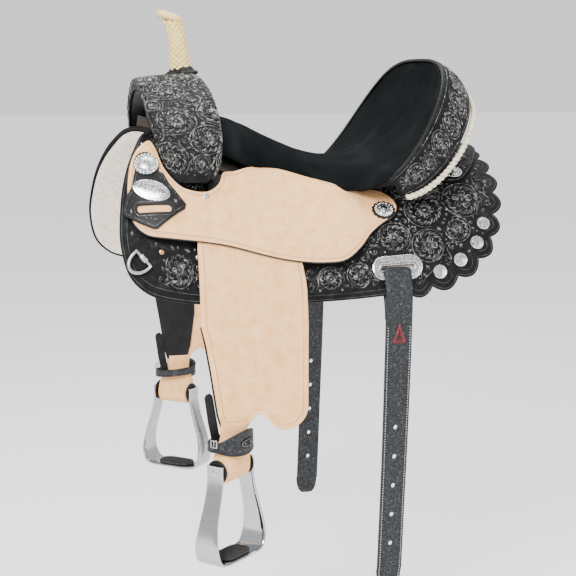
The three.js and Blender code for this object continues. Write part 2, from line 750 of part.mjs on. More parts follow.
function makeBillet() {
  const outline = [];
  const length = BILLET_TOP_Z - BILLET_END_Z;
  const lean = (z) => BILLET_X - 12 * ((BILLET_TOP_Z - z) / length);
  for (const side of [-1, 1]) {
    const run = [];
    for (let i = 0; i <= 4; i += 1) {
      const z = BILLET_TOP_Z - (length - 22) * i / 4;
      run.push([lean(z) + side * (BILLET_WIDTH / 2 - 1.2 * i / 4), z]);
    }
    outline.push(...(side < 0 ? run : run.reverse()));
    if (side < 0) {
      outline.push([lean(BILLET_END_Z) - 10, BILLET_END_Z], [lean(BILLET_END_Z) + 10, BILLET_END_Z]);
    }
  }
  return hangingPlate(outline, BILLET_Y - 2.4, BILLET_Y + 2.4);
}

function makeRearRigging() {
  const outline = racetrack(...REAR_PLATE, 78, 38, 0, 5);
  return backSheet(outline, SKIRT_THICKNESS + GAP, SKIRT_THICKNESS + GAP + PLATE_THICKNESS, [rearSlot]);
}

function makeFrontRigging() {
  const outline = racetrack(...FRONT_PLATE, 118, 42, 0, 5);
  return backSheet(outline, -GAP - PLATE_THICKNESS, -GAP, [frontSlot]);
}

// ---- breast collar dee ----
const DEE_AT = [-267, 268];
const DEE_WIRE = 2;
const KEEPER_TUBE = 4.4;
const DEE_LIFT = SKIRT_THICKNESS + GAP + KEEPER_TUBE;

/** Places a piece made with its bar along X, its loop towards -Y and its face up +Z, on the near skirt. */
function onDeeSeat(geometry) {
  const origin = onBack(...DEE_AT, DEE_LIFT);
  const bar = onBack(DEE_AT[0] + 9, DEE_AT[1] + 7, DEE_LIFT).sub(onBack(DEE_AT[0] - 9, DEE_AT[1] - 7, DEE_LIFT)).normalize();
  const face = outward(...DEE_AT, DEE_LIFT, -1);
  face.addScaledVector(bar, -face.dot(bar)).normalize();
  const third = face.clone().cross(bar);
  const basis = new THREE.Matrix4().makeBasis(bar, third, face).setPosition(origin);
  return geometry.applyMatrix4(basis);
}

function makeDee() {
  const halfBar = 15;
  const line = [];
  for (let i = 0; i <= 12; i += 1) {
    const turn = Math.PI * i / 12;
    line.push(vec(halfBar * Math.cos(turn), -25 * Math.sin(turn) ** 0.8, 0));
  }
  const rings = line.map((p, i) => {
    const before = line[(i + line.length - 1) % line.length];
    const after = line[(i + 1) % line.length];
    const side = vec(0, 0, 1).cross(after.clone().sub(before)).normalize();
    const ring = [];
    for (let k = 0; k < 6; k += 1) {
      const turn = Math.PI * k / 3;
      ring.push(p.clone().addScaledVector(side, DEE_WIRE * Math.cos(turn)).add(vec(0, 0, DEE_WIRE * Math.sin(turn))));
    }
    return ring;
  });
  return onDeeSeat(loft(rings, true));
}

function makeDeeKeeper() {
  const profile = [[2.6, -6], [KEEPER_TUBE, -6], [KEEPER_TUBE, 6], [2.6, 6], [2.6, -6]];
  const tube = new THREE.LatheGeometry(profile.map(([r, h]) => new THREE.Vector2(r, h)), 8);
  tube.rotateZ(Math.PI / 2);
  return onDeeSeat(tube);
}

// ---- conchos ----
function makeConcho(radius, height) {
  const profile = [[0, 0], [radius * 0.86, 0], [radius, 1], [radius * 0.93, height * 0.62], [radius * 0.6, height * 0.8], [0, height]];
  return new THREE.LatheGeometry(profile.map(([r, h]) => new THREE.Vector2(r, h)), 12);
}

function makeOval() {
  const oval = makeConcho(1, 2.2);
  oval.scale(26, 1.4, 12);
  return oval;
}

// ---- assembly ----
const saddle = new THREE.Group();

function add(name, geometry, material, parent = saddle) {
  const mesh = new THREE.Mesh(geometry, material);
  mesh.name = name;
  parent.add(mesh);
  return mesh;
}

function mirrored(geometry) {
  const copy = geometry.index ? geometry.toNonIndexed() : geometry.clone();
  copy.scale(1, -1, 1);
  const position = copy.attributes.position;
  for (let i = 0; i < position.count; i += 3) {
    for (const axis of ['X', 'Y', 'Z']) {
      const held = position[`get${axis}`](i + 1);
      position[`set${axis}`](i + 1, position[`get${axis}`](i + 2));
      position[`set${axis}`](i + 2, held);
    }
  }
  copy.computeVertexNormals();
  return copy;
}

/** A near-side piece and its mirror image on the off side. */
function addPair(name, geometry, material) {
  add(`${name}_left`, geometry, material);
  add(`${name}_right`, mirrored(geometry), material);
}

/** The same round piece on both sides, standing on a surface over the back. */
function addStuds(name, geometry, material, x, s, level, standOff, turn = 0) {
  for (const [label, side] of [['left', -1], ['right', 1]]) {
    const normal = outward(x, s, level, side);
    const spot = onBack(x, s, heightAt(level, x, s));
    const mesh = add(`${name}_${label}`, geometry, material);
    mesh.position.set(spot.x, -side * spot.y, spot.z).addScaledVector(normal, standOff);
    const alongX = vec(1, 0, 0).addScaledVector(normal, -normal.x).normalize();
    const basis = new THREE.Matrix4().makeBasis(alongX, normal, alongX.clone().cross(normal));
    const spin = new THREE.Quaternion().setFromAxisAngle(vec(0, 1, 0), side * turn);
    mesh.quaternion.setFromRotationMatrix(basis).multiply(spin);
  }
}

/** A group under each fender, turned so that its X runs along the stirrup bolt. */
function addStirrupPieces() {
  const pieces = [
    ['stirrup_roll', makeStirrupRoll(), natural], ['stirrup', makeStirrup(), aluminium],
    ['stirrup_tread', makeTread(), rubber], ['stirrup_bolt', makeBolt(), steel],
  ];
  const hobble = [['hobble_strap', makeHobbleStrap(), strap], ['hobble_buckle', makeHobbleBuckle(), steel]];
  for (const [label, side] of [['left', -1], ['right', 1]]) {
    const turned = new THREE.Group();
    turned.position.set(STIRRUP_X, side * FENDER_MID_Y, 0);
    turned.rotation.z = -side * STIRRUP_TURN;
    saddle.add(turned);
    for (const [name, geometry, material] of pieces) {
      add(`${name}_${label}`, geometry, material, turned);
    }
    const wrapped = new THREE.Group();
    wrapped.position.set(STIRRUP_X, side * FENDER_MID_Y, 0);
    wrapped.rotation.z = -side * STIRRUP_TURN / 2;
    saddle.add(wrapped);
    for (const [name, geometry, material] of hobble) {
      add(`${name}_${label}`, side < 0 ? geometry : mirrored(geometry), material, wrapped);
    }
  }
}

const fleeceCuts = [
  [[BILLET_X - 25, 258], [BILLET_X + 25, 258], [BILLET_X + 25, 330], [BILLET_X - 25, 330]],
  racetrack(...FRONT_PLATE, 124, 48, 0, 5),
].map((outline) => backPrism(outline));

addPair('fleece', cut(backSolid(fleeceOutline, -GAP - FLEECE_THICKNESS, -GAP), ...fleeceCuts), wool);
addPair('skirt', backSheet(skirtOutline, 0, SKIRT_THICKNESS, [rearSlot, frontSlot]), tooled);
addPair('tree_bar', backSheet(barOutline, SKIRT_THICKNESS + GAP, barTop), wood);
add('tree_fork', makeTreeFork(), wood);
add('tree_cantle', makeTreeCantle(), wood);
add('ground_seat', makeGroundSeat(), blackLeather);
add('seat', makeSeat(), suede);
add('cantle_binding', makeBinding(), tooled);
add('cantle_lacing', makeLacing(), lace);
add('swell_cover', makeSwellCover(), tooled);
add('horn_core', makeHornCore(), steel);
add('horn_wrap', makeHornWrap(), rawhide);
addPair('seat_jockey', backSheet(jockeyOutline, jockeyLift, jockeyTop), natural);
add('rear_jockey', backSheet(rearJockeyOutline, SKIRT_THICKNESS + GAP, SKIRT_THICKNESS + GAP + 3), tooled);
addPair('latigo_keeper', backSheet(keeperOutline, keeperLow, keeperTop, [keeperSlot]), blackLeather);
addStuds('keeper_concho', makeConcho(18.5, 6), silver, -253, 165, keeperTop, 1.6);
addStuds('keeper_plate', makeOval(), silver, -250, 197, keeperTop, 2, 0.12);
addStuds('jockey_concho', makeConcho(15.5, 6), silver, 105, 174, jockeyTop, 1.6);
addStuds('rear_concho', makeConcho(14, 6), silver, 234, 119, SKIRT_THICKNESS + GAP + 3, 1.4);
addPair('front_rigging_plate', makeFrontRigging(), steel);
addPair('rear_rigging_plate', makeRearRigging(), silver);
addPair('billet_loop', makeBilletLoop(), strap);
addPair('billet', makeBillet(), strap);
addPair('stirrup_leather_top', makeStirrupLeatherTop(), blackLeather);
addPair('fender_upper', hangingPlate(fenderUpperOutline, FENDER_INNER_Y, FENDER_OUTER_Y), natural);
addPair('fender', hangingPlate(fenderOutline, FENDER_INNER_Y + FENDER_BACKING + GAP, FENDER_OUTER_Y), natural);
addPair('stirrup_leather', hangingPlate(leatherOutline, FENDER_INNER_Y, FENDER_INNER_Y + FENDER_BACKING), blackLeather);
addStirrupPieces();
addPair('breast_dee', makeDee(), silver);
addPair('dee_keeper', makeDeeKeeper(), blackLeather);

export default saddle;
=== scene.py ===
"""A western barrel saddle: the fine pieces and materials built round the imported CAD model.

Lengths are millimetres until a mesh is made, which is in metres. +X runs to the cantle, -Y is the near side.
Pieces that come in pairs are built on the near side and mirrored.
"""
import json
import math

import bpy
import numpy as np
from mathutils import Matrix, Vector, noise
from mathutils.geometry import delaunay_2d_cdt

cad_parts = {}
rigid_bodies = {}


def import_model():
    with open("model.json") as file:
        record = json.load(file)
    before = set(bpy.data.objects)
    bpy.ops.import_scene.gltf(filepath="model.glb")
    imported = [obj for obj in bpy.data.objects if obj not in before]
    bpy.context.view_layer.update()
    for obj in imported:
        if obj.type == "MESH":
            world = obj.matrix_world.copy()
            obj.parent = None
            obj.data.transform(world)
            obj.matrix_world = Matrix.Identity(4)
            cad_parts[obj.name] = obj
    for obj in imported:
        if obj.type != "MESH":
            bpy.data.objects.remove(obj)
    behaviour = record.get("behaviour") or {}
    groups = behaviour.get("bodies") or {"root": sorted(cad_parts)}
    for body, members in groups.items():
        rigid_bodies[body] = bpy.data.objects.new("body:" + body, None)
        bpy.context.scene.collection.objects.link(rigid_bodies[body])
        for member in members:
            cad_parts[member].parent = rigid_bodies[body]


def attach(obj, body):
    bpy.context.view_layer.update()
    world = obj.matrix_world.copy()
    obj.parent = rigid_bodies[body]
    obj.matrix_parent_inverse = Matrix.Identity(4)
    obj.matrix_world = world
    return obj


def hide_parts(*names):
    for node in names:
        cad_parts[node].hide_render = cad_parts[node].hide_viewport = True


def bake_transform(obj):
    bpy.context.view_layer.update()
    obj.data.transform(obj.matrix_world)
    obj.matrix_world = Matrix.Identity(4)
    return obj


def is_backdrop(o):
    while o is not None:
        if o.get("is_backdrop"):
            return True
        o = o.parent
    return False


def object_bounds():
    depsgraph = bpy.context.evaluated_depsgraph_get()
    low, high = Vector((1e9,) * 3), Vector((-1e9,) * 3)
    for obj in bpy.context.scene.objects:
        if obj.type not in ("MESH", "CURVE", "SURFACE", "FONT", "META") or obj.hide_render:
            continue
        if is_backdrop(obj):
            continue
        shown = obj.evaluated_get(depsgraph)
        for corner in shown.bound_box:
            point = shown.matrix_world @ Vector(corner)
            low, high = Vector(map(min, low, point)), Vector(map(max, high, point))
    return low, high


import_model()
CAD_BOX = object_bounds()

# ---- driving dimensions, as in the CAD source ----
GAP = 0.4
ARC = 225.0
BACK_HALF_WIDTH = 240.0
BACK_DEPTH = 200.0
WITHERS_RISE = 110.0
LOIN_RISE = 40.0
RISE_LENGTH = 320.0
FLEECE = 12.0
SKIRT = 4.0
JOCKEY = 4.5
KEEPER = 3.0
LEATHER_Y = 242.0
FENDER_Y = 245.2
STIRRUP_X = -147.0
STIRRUP_Y = -245.5
STIRRUP_TURN = math.radians(42)
BOLT_Z = -405.0
BOLT_CENTRE = np.array([STIRRUP_X, STIRRUP_Y, BOLT_Z])
NECK_TOP_Z = -339.0
ROLL_RADIUS = 19.0
BAND = 4.5
BILLET_X = 108.0
BILLET_WIDTH = 41.0
BILLET_TOP_Z = -208.0
BILLET_END_Z = -612.0
REAR_PLATE = (110.0, 270.0)
FRONT_PLATE = (-125.0, 281.0)
HORN_X = -171.0
RIM = dict(half=208, top_x=218, top_z=181, end_x=83, end_z=-3, bend_x=0.5, bend_y=0.62, bend_z=0.8)
LACE = dict(half=203, top_x=270, top_z=132, end_x=112, end_z=-21, bend_x=0.58, bend_y=0.65, bend_z=1.12)
ARCH_SPACING = 1.5

# ---- camera ----
VIEW_AZIMUTH = math.radians(-14)
VIEW_ELEVATION = math.radians(9)
VIEW_DISTANCE = 2.2
VIEW_TARGET = Vector((0, 0, -0.185))
LENS = 84.4


def make_camera():
    data = bpy.data.cameras.new("camera")
    data.lens = LENS
    data.sensor_width = 36
    data.clip_end = 50
    camera = bpy.data.objects.new("camera", data)
    bpy.context.scene.collection.objects.link(camera)
    back = Vector((
        math.sin(VIEW_AZIMUTH) * math.cos(VIEW_ELEVATION),
        -math.cos(VIEW_AZIMUTH) * math.cos(VIEW_ELEVATION),
        math.sin(VIEW_ELEVATION),
    ))
    camera.location = VIEW_TARGET + back * VIEW_DISTANCE
    camera.rotation_euler = back.to_track_quat("Z", "Y").to_euler()
    bpy.context.scene.camera = camera


make_camera()


# ---- small maths ----
def arc_lengths(points):
    """The length along a path at each of its points, from 0."""
    return np.concatenate([[0], np.cumsum(np.linalg.norm(np.diff(points, axis=0), axis=1))])


def as_arrays(*values):
    """Numbers and arrays brought to one shape."""
    return np.broadcast_arrays(*(np.asarray(value, float) for value in values))


def unit(vectors):
    return vectors / np.linalg.norm(vectors, axis=-1)[..., None]


def smooth_step(value):
    v = np.clip(value, 0, 1)
    return v * v * (3 - 2 * v)


def ridge(x):
    x = np.asarray(x, float)
    rise = np.where(x < 0, WITHERS_RISE, LOIN_RISE)
    return rise * 0.5 * (1 - np.cos(np.pi * np.minimum(1, np.abs(x) / RISE_LENGTH)))


def on_back(x, s, n):
    """Near-side points at station x, s down the section and n proud of it."""
    x, s, n = as_arrays(x, s, n)
    angle = s / ARC
    rise = ridge(x)
    depth = BACK_DEPTH + 1.2 * rise
    y = (BACK_HALF_WIDTH + n) * np.sin(angle)
    return np.stack([x, -y, rise - depth + (depth + n) * np.cos(angle)], -1)


def jockey_lift(x, s):
    over = smooth_step((x + 285) / 70) * smooth_step((92 - x) / 60)
    return 4.8 + over * (20.2 - 7.5 * smooth_step((s - 125) / 50))


def jockey_top(x, s):
    return jockey_lift(x, s) + JOCKEY


def keeper_top(x, s):
    return jockey_top(x, s) + GAP + KEEPER


def level_at(level, u, v):
    return level(u, v) if callable(level) else np.full(np.shape(u), float(level))


def spline(points, per_span, closed=True):
    """A centripetal Catmull-Rom curve through 2-D or 3-D points."""
    p = np.asarray(points, float)
    count = len(p)
    out = []
    spans = count if closed else count - 1
    for i in range(spans):
        if closed:
            a, b, c, d = (p[(i + k - 1) % count] for k in range(4))
        else:
            b, c = p[i], p[i + 1]
            a = p[i - 1] if i > 0 else 2 * b - c
            d = p[i + 2] if i + 2 < count else 2 * c - b
        t0 = 0.0
        t1 = t0 + max(1e-4, np.linalg.norm(b - a)) ** 0.5
        t2 = t1 + max(1e-4, np.linalg.norm(c - b)) ** 0.5
        t3 = t2 + max(1e-4, np.linalg.norm(d - c)) ** 0.5
        t = np.linspace(t1, t2, per_span, endpoint=False)[:, None]
        a1 = (t1 - t) / (t1 - t0) * a + (t - t0) / (t1 - t0) * b
        a2 = (t2 - t) / (t2 - t1) * b + (t - t1) / (t2 - t1) * c
        a3 = (t3 - t) / (t3 - t2) * c + (t - t2) / (t3 - t2) * d
        b1 = (t2 - t) / (t2 - t0) * a1 + (t - t0) / (t2 - t0) * a2
        b2 = (t3 - t) / (t3 - t1) * a2 + (t - t1) / (t3 - t1) * a3
        out.append((t2 - t) / (t2 - t1) * b1 + (t - t1) / (t2 - t1) * b2)
    if not closed:
        out.append(p[-1:])
    return np.concatenate(out)


def densify(points, step, closed=True):
    """Splits long edges, and keeps every corner."""
    p = np.asarray(points, float)
    out = []
    count = len(p) if closed else len(p) - 1
    for i in range(count):
        a, b = p[i], p[(i + 1) % len(p)]
        parts = max(1, int(math.ceil(np.linalg.norm(b - a) / step)))
        out += [a + (b - a) * k / parts for k in range(parts)]
    if not closed:
        out.append(p[-1])
    return np.array(out)


def resample(points, step, closed=False):
    """Points a fixed step apart along a polyline."""
    p = np.asarray(points, float)
    if closed:
        p = np.vstack([p, p[:1]])
    run = arc_lengths(p)
    count = max(2, int(round(run[-1] / step)) + (0 if closed else 1))
    at = np.linspace(0, run[-1], count + (1 if closed else 0))
    out = np.stack([np.interp(at, run, p[:, k]) for k in range(p.shape[1])], 1)
    return out[:-1] if closed else out


def racetrack(a, b, length, width, tilt=0.0, steps=12):
    radius = width / 2
    straight = length / 2 - radius
    angles = (np.arange(steps + 1) / steps - 0.5) * math.pi
    right = np.stack([straight + radius * np.cos(angles), radius * np.sin(angles)], 1)
    outline = np.vstack([right, -right])
    cos, sin = math.cos(tilt), math.sin(tilt)
    return outline @ np.array([[cos, sin], [-sin, cos]]) + np.array([a, b])


def area_of(p):
    x, y = p[:, 0], p[:, 1]
    return 0.5 * np.sum(x * np.roll(y, -1) - np.roll(x, -1) * y)


def inside(points, polygon):
    """Which points lie in the polygon."""
    x, y = points[:, 0][:, None], points[:, 1][:, None]
    ax, ay = polygon[:, 0][None], polygon[:, 1][None]
    bx, by = np.roll(polygon[:, 0], -1)[None], np.roll(polygon[:, 1], -1)[None]
    crosses = (ay > y) != (by > y)
    with np.errstate(divide="ignore", invalid="ignore"):
        at = (bx - ax) * (y - ay) / (by - ay) + ax
    return (np.sum(crosses & (x < at), axis=1) % 2) == 1


def distance(points, polygon, closed=True):
    """How far each point is from the polygon's edge."""
    a = polygon if closed else polygon[:-1]
    b = np.roll(polygon, -1, axis=0) if closed else polygon[1:]
    d = b - a
    length = np.maximum(1e-9, np.sum(d * d, axis=1))
    best = np.full(len(points), 1e9)
    for start in range(0, len(points), 4000):
        q = points[start:start + 4000]
        w = q[:, None] - a[None]
        t = np.clip(np.sum(w * d[None], axis=2) / length[None], 0, 1)
        away = w - t[..., None] * d[None]
        best[start:start + 4000] = np.sqrt(np.min(np.sum(away * away, axis=2), axis=1))
    return best


def inset(outline, amount, step=2.0):
    """An inner outline that follows the outer one at a distance."""
    p = resample(outline, step, closed=True)
    if area_of(p) < 0:
        p = p[::-1]
    tangent = np.roll(p, -1, axis=0) - np.roll(p, 1, axis=0)
    tangent /= np.maximum(1e-9, np.linalg.norm(tangent, axis=1))[:, None]
    moved = p + np.stack([-tangent[:, 1], tangent[:, 0]], 1) * amount
    keep = distance(moved, p) > amount * 0.93
    return moved[keep]


# ---- meshes ----
class Shape:
    """Vertices and faces that become one object."""

    def __init__(self):
        self.vertices = []
        self.faces = []
        self.count = 0

    def add(self, vertices, faces):
        vertices = np.asarray(vertices, float)
        self.vertices.append(vertices)
        self.faces.extend(tuple(i + self.count for i in face) for face in faces)
        self.count += len(vertices)

    def skin(self, rows, loop_rows=False):
        """Adds rows of points as a closed skin; each row is a loop."""
        rows = np.asarray(rows)
        self.add(rows.reshape(-1, 3), grid_faces(len(rows), rows.shape[1], loop_rows, True))

    def points(self):
        return np.vstack(self.vertices)


def grid_faces(rows, columns, loop_rows=False, loop_columns=False, caps=True):
    """Quads over a grid of points; a grid that loops one way can get end caps."""
    faces = []
    for i in range(rows if loop_rows else rows - 1):
        for j in range(columns if loop_columns else columns - 1):
            k, m = (i + 1) % rows, (j + 1) % columns
            faces.append((i * columns + j, k * columns + j, k * columns + m, i * columns + m))
    if caps and loop_columns and not loop_rows:
        faces.append(tuple(range(columns)))
        faces.append(tuple(reversed(range((rows - 1) * columns, rows * columns))))
    return faces


def make_object(name, points, faces, material, smooth):
    mesh = bpy.data.meshes.new(name)
    mesh.from_pydata((points / 1000).tolist(), [], faces)
    mesh.validate()
    mesh.polygons.foreach_set("use_smooth", [smooth] * len(mesh.polygons))
    mesh.materials.append(material)
    mesh.update()
    made = bpy.data.objects.new(name, mesh)
    bpy.context.scene.collection.objects.link(made)
    bpy.context.view_layer.objects.active = made
    return made


def fix_normals(made):
    bpy.ops.object.select_all(action="DESELECT")
    made.select_set(True)
    bpy.context.view_layer.objects.active = made
    bpy.ops.object.mode_set(mode="EDIT")
    bpy.ops.mesh.select_all(action="SELECT")
    bpy.ops.mesh.normals_make_consistent(inside=False)
    bpy.ops.object.mode_set(mode="OBJECT")


def sharpen(made, degrees):
    made.data.set_sharp_from_angle(angle=math.radians(degrees))


def emit(name, shape, material, body, nodes=(), smooth=True, blend=None, sharp=None):
    """One object on a body, standing for CAD nodes."""
    made = make_object(name, shape.points(), shape.faces, material, smooth)
    fix_normals(made)
    if sharp is not None:
        sharpen(made, sharp)
    if blend:
        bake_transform(made)
    else:
        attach(made, body)
    if nodes:
        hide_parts(*nodes)
    return made


def emit_pair(name, shape, material, body, nodes=(), smooth=True, blend=None, sharp=None):
    """The near-side object and its mirror image; body and node names get _left or _right."""
    pair = []
    for label, flip in (("left", 1), ("right", -1)):
        side = Shape()
        points = shape.points() * np.array([1, flip, 1])
        side.add(points, shape.faces)
        owner = body if body == "root" else f"{body}_{label}"
        bend = None
        if blend:
            first, second, start, end = blend
            names = [b if b == "root" else f"{b}_{label}" for b in (first, second)]
            corner = [(p[0] / 1000, p[1] * flip / 1000, p[2] / 1000) for p in (start, end)]
            bend = (*names, *corner)
        stands_for = [f"{n}_{label}" for n in nodes]
        pair.append(emit(f"{name}_{label}", side, material, owner, stands_for, smooth, bend, sharp))
    return pair


def cut_sheet(shape, outline, place, low, thickness, holes=(), step=6.0, edge=None, wave=None):
    """A sheet cut to an outline, with rounded edges; place maps (u, v, height) to points."""
    edge = min(thickness / 2, 1.8) if edge is None else edge
    outer = densify(outline, step * 0.8)
    inner = [densify(h, step * 0.6) for h in holes]
    contours = [outer, *inner]
    points = [c for c in contours]
    for contour, sign in [(outer, 1)] + [(h, -1) for h in inner]:
        turned = contour if area_of(contour) * sign > 0 else contour[::-1]
        tangent = np.roll(turned, -1, axis=0) - np.roll(turned, 1, axis=0)
        tangent /= np.maximum(1e-9, np.linalg.norm(tangent, axis=1))[:, None]
        normal = np.stack([-tangent[:, 1], tangent[:, 0]], 1)
        for amount in (edge * 0.13, edge * 0.5, edge):
            ring = turned + normal * amount
            away = np.min([distance(ring, c) for c in contours], axis=0)
            points.append(ring[away > amount * 0.9])
    low_corner, high_corner = outer.min(0), outer.max(0)
    gu = np.arange(low_corner[0] + step * 0.37, high_corner[0], step)
    gv = np.arange(low_corner[1] + step * 0.41, high_corner[1], step * 0.87)
    grid = np.array([(u + (k % 2) * step / 2, v) for k, v in enumerate(gv) for u in gu])
    if len(grid):
        away = np.min([distance(grid, c) for c in contours], axis=0)
        keep = inside(grid, outer) & (away > edge + step * 0.4)
        for hole in inner:
            keep &= ~inside(grid, hole)
        points.append(grid[keep])
    flat = np.vstack(points)
    rings = []
    start = 0
    for contour in contours:
        rings.append(list(range(start, start + len(contour))))
        start += len(contour)
    edges = [(r[i], r[(i + 1) % len(r)]) for r in rings for i in range(len(r))]
    result = delaunay_2d_cdt([Vector(p) for p in flat], edges, [], 0, 1e-4)
    flat = np.array([tuple(p) for p in result[0]])
    triangles = np.array([f for f in result[2] if len(f) == 3])
    middle = flat[triangles].mean(axis=1)
    keep = inside(middle, outer)
    for hole in inner:
        keep &= ~inside(middle, hole)
    triangles = triangles[keep]
    used = np.unique(triangles)
    remap = -np.ones(len(flat), int)
    remap[used] = np.arange(len(used))
    flat = flat[used]
    triangles = remap[triangles]
    away = np.min([distance(flat, c) for c in contours], axis=0)
    inward = np.minimum(away, edge)
    round_off = edge - np.sqrt(np.maximum(0, edge ** 2 - (edge - inward) ** 2))
    base = level_at(low, flat[:, 0], flat[:, 1])
    top = base + thickness - round_off
    bottom = base + round_off
    if wave is not None:
        top = top + wave(flat, away, True)
        bottom = bottom + wave(flat, away, False)
    count = len(flat)
    upper = place(flat[:, 0], flat[:, 1], top)
    lower = place(flat[:, 0], flat[:, 1], bottom)
    faces = [tuple(t) for t in triangles] + [tuple(c + count for c in reversed(t)) for t in triangles]
    directed = {}
    for a, b, c in triangles:
        for pair in ((a, b), (b, c), (c, a)):
            directed[pair] = True
    for a, b in directed:
        if (b, a) not in directed:
            faces.append((b, a, a + count, b + count))
    shape.add(np.vstack([upper, lower]), faces)


def tube(shape, path, radius, sides=10, closed=False, squash=1.0, up=None):
    """A round or flat tube along 3-D points."""
    p = np.asarray(path, float)
    count = len(p)
    radii = np.broadcast_to(np.asarray(radius, float), (count,))
    if closed:
        tangent = np.roll(p, -1, axis=0) - np.roll(p, 1, axis=0)
    else:
        tangent = np.gradient(p, axis=0)
    tangent /= np.maximum(1e-9, np.linalg.norm(tangent, axis=1))[:, None]
    if up is None:
        normal = np.zeros_like(p)
        start = np.array([0, 0, 1.0]) if abs(tangent[0][2]) < 0.9 else np.array([1.0, 0, 0])
        normal[0] = start - tangent[0] * start.dot(tangent[0])
        normal[0] /= np.linalg.norm(normal[0])
        for i in range(1, count):
            n = normal[i - 1] - tangent[i] * normal[i - 1].dot(tangent[i])
            normal[i] = n / np.linalg.norm(n)
    else:
        up = np.broadcast_to(np.asarray(up, float), p.shape)
        normal = up - tangent * np.sum(up * tangent, axis=1)[:, None]
        normal /= np.maximum(1e-9, np.linalg.norm(normal, axis=1))[:, None]
    side = np.cross(tangent, normal)
    angles = 2 * math.pi * np.arange(sides) / sides
    ring = (
        p[:, None]
        + side[:, None] * (radii[:, None] * np.cos(angles))[..., None]
        + normal[:, None] * (radii[:, None] * squash * np.sin(angles))[..., None]
    )
    shape.add(ring.reshape(-1, 3), grid_faces(count, sides, closed, True))


def lathe(shape, profile, origin, axis, segments=32, wobble=None):
    """A turned shape; the profile is (radius, height) pairs along the axis, and one that closes makes a ring."""
    ring = profile[0] == profile[-1]
    if ring:
        profile = profile[:-1]
    axis = np.asarray(axis, float) / np.linalg.norm(axis)
    helper = np.array([1.0, 0, 0]) if abs(axis[0]) < 0.9 else np.array([0, 1.0, 0])
    u = helper - axis * helper.dot(axis)
    u /= np.linalg.norm(u)
    v = np.cross(axis, u)
    angles = 2 * math.pi * np.arange(segments) / segments
    rows = []
    for r, h in profile:
        radius = max(r, 0.01) * (wobble(angles, r) if wobble else 1.0)
        spoke = np.cos(angles)[:, None] * u + np.sin(angles)[:, None] * v
        rows.append(np.asarray(origin) + spoke * np.reshape(radius, (-1, 1)) + axis * h)
    shape.add(np.vstack(rows), grid_faces(len(profile), segments, ring, True))


def dome(shape, origin, axis, radius, height, segments=12, rings=4):
    profile = [(radius * math.cos(a), height * math.sin(a)) for a in np.linspace(0, math.pi / 2, rings + 1)]
    lathe(shape, [(radius * 0.98, -0.4), *profile], origin, axis, segments)


STITCH = np.array([
    (a, w * math.cos(t), w * math.sin(t))
    for a, w in ((-0.5, 0.35), (-0.32, 0.9), (0.32, 0.9), (0.5, 0.35))
    for t in (0, math.pi / 3, 2 * math.pi / 3, math.pi, 4 * math.pi / 3, 5 * math.pi / 3)
])
STITCH_FACES = grid_faces(4, 6, False, True)


def stitch_line(shape, path, place, level, length=2.4, pitch=3.4, width=0.45):
    """A row of thread stitches along a 2-D path."""
    p = resample(path, pitch)
    middle = (p[:-1] + p[1:]) / 2
    along = p[1:] - p[:-1]
    along /= np.maximum(1e-9, np.linalg.norm(along, axis=1))[:, None]
    for (u, v), (du, dv) in zip(middle, along):
        a = STITCH[:, 0] * length
        b = STITCH[:, 1] * width
        uu = u + a * du - b * dv
        vv = v + a * dv + b * du
        shape.add(place(uu, vv, level_at(level, uu, vv) + STITCH[:, 2] * width), STITCH_FACES)


def closed_path(path):
    return np.vstack([path, path[:1]])


# ---- materials ----
def new_material(name, color, roughness, metallic=0.0, specular=0.5):
    made = bpy.data.materials.new(name)
    made.use_nodes = True
    bsdf = made.node_tree.nodes["Principled BSDF"]
    bsdf.inputs["Base Color"].default_value = (*color, 1)
    bsdf.inputs["Roughness"].default_value = roughness
    bsdf.inputs["Metallic"].default_value = metallic
    bsdf.inputs["Specular IOR Level"].default_value = specular
    return made, made.node_tree.nodes, made.node_tree.links, bsdf


def noise_node(nodes, links, scale, detail=4.0, stretch=None, distortion=0.0):
    """A noise texture in object space."""
    texture = nodes.new("ShaderNodeTexNoise")
    texture.inputs["Scale"].default_value = scale
    texture.inputs["Detail"].default_value = detail
    texture.inputs["Distortion"].default_value = distortion
    place = nodes.new("ShaderNodeTexCoord")
    if stretch:
        mapping = nodes.new("ShaderNodeMapping")
        mapping.inputs["Scale"].default_value = stretch
        links.new(place.outputs["Object"], mapping.inputs["Vector"])
        links.new(mapping.outputs["Vector"], texture.inputs["Vector"])
    else:
        links.new(place.outputs["Object"], texture.inputs["Vector"])
    return texture


def cell_node(nodes, links, scale, feature="F1"):
    texture = nodes.new("ShaderNodeTexVoronoi")
    texture.feature = feature
    texture.inputs["Scale"].default_value = scale
    place = nodes.new("ShaderNodeTexCoord")
    links.new(place.outputs["Object"], texture.inputs["Vector"])
    return texture


def ramp_node(nodes, links, source, stops):
    ramp = nodes.new("ShaderNodeValToRGB")
    elements = ramp.color_ramp.elements
    while len(elements) < len(stops):
        elements.new(0.5)
    for element, (position, color) in zip(elements, stops):
        element.position = position
        element.color = (*color, 1)
    links.new(source, ramp.inputs["Fac"])
    return ramp


def add_bump(nodes, links, bsdf, source, strength, depth, before=None):
    bump = nodes.new("ShaderNodeBump")
    bump.inputs["Strength"].default_value = strength
    bump.inputs["Distance"].default_value = depth
    links.new(source, bump.inputs["Height"])
    if before is not None:
        links.new(before.outputs["Normal"], bump.inputs["Normal"])
    links.new(bump.outputs["Normal"], bsdf.inputs["Normal"])
    return bump


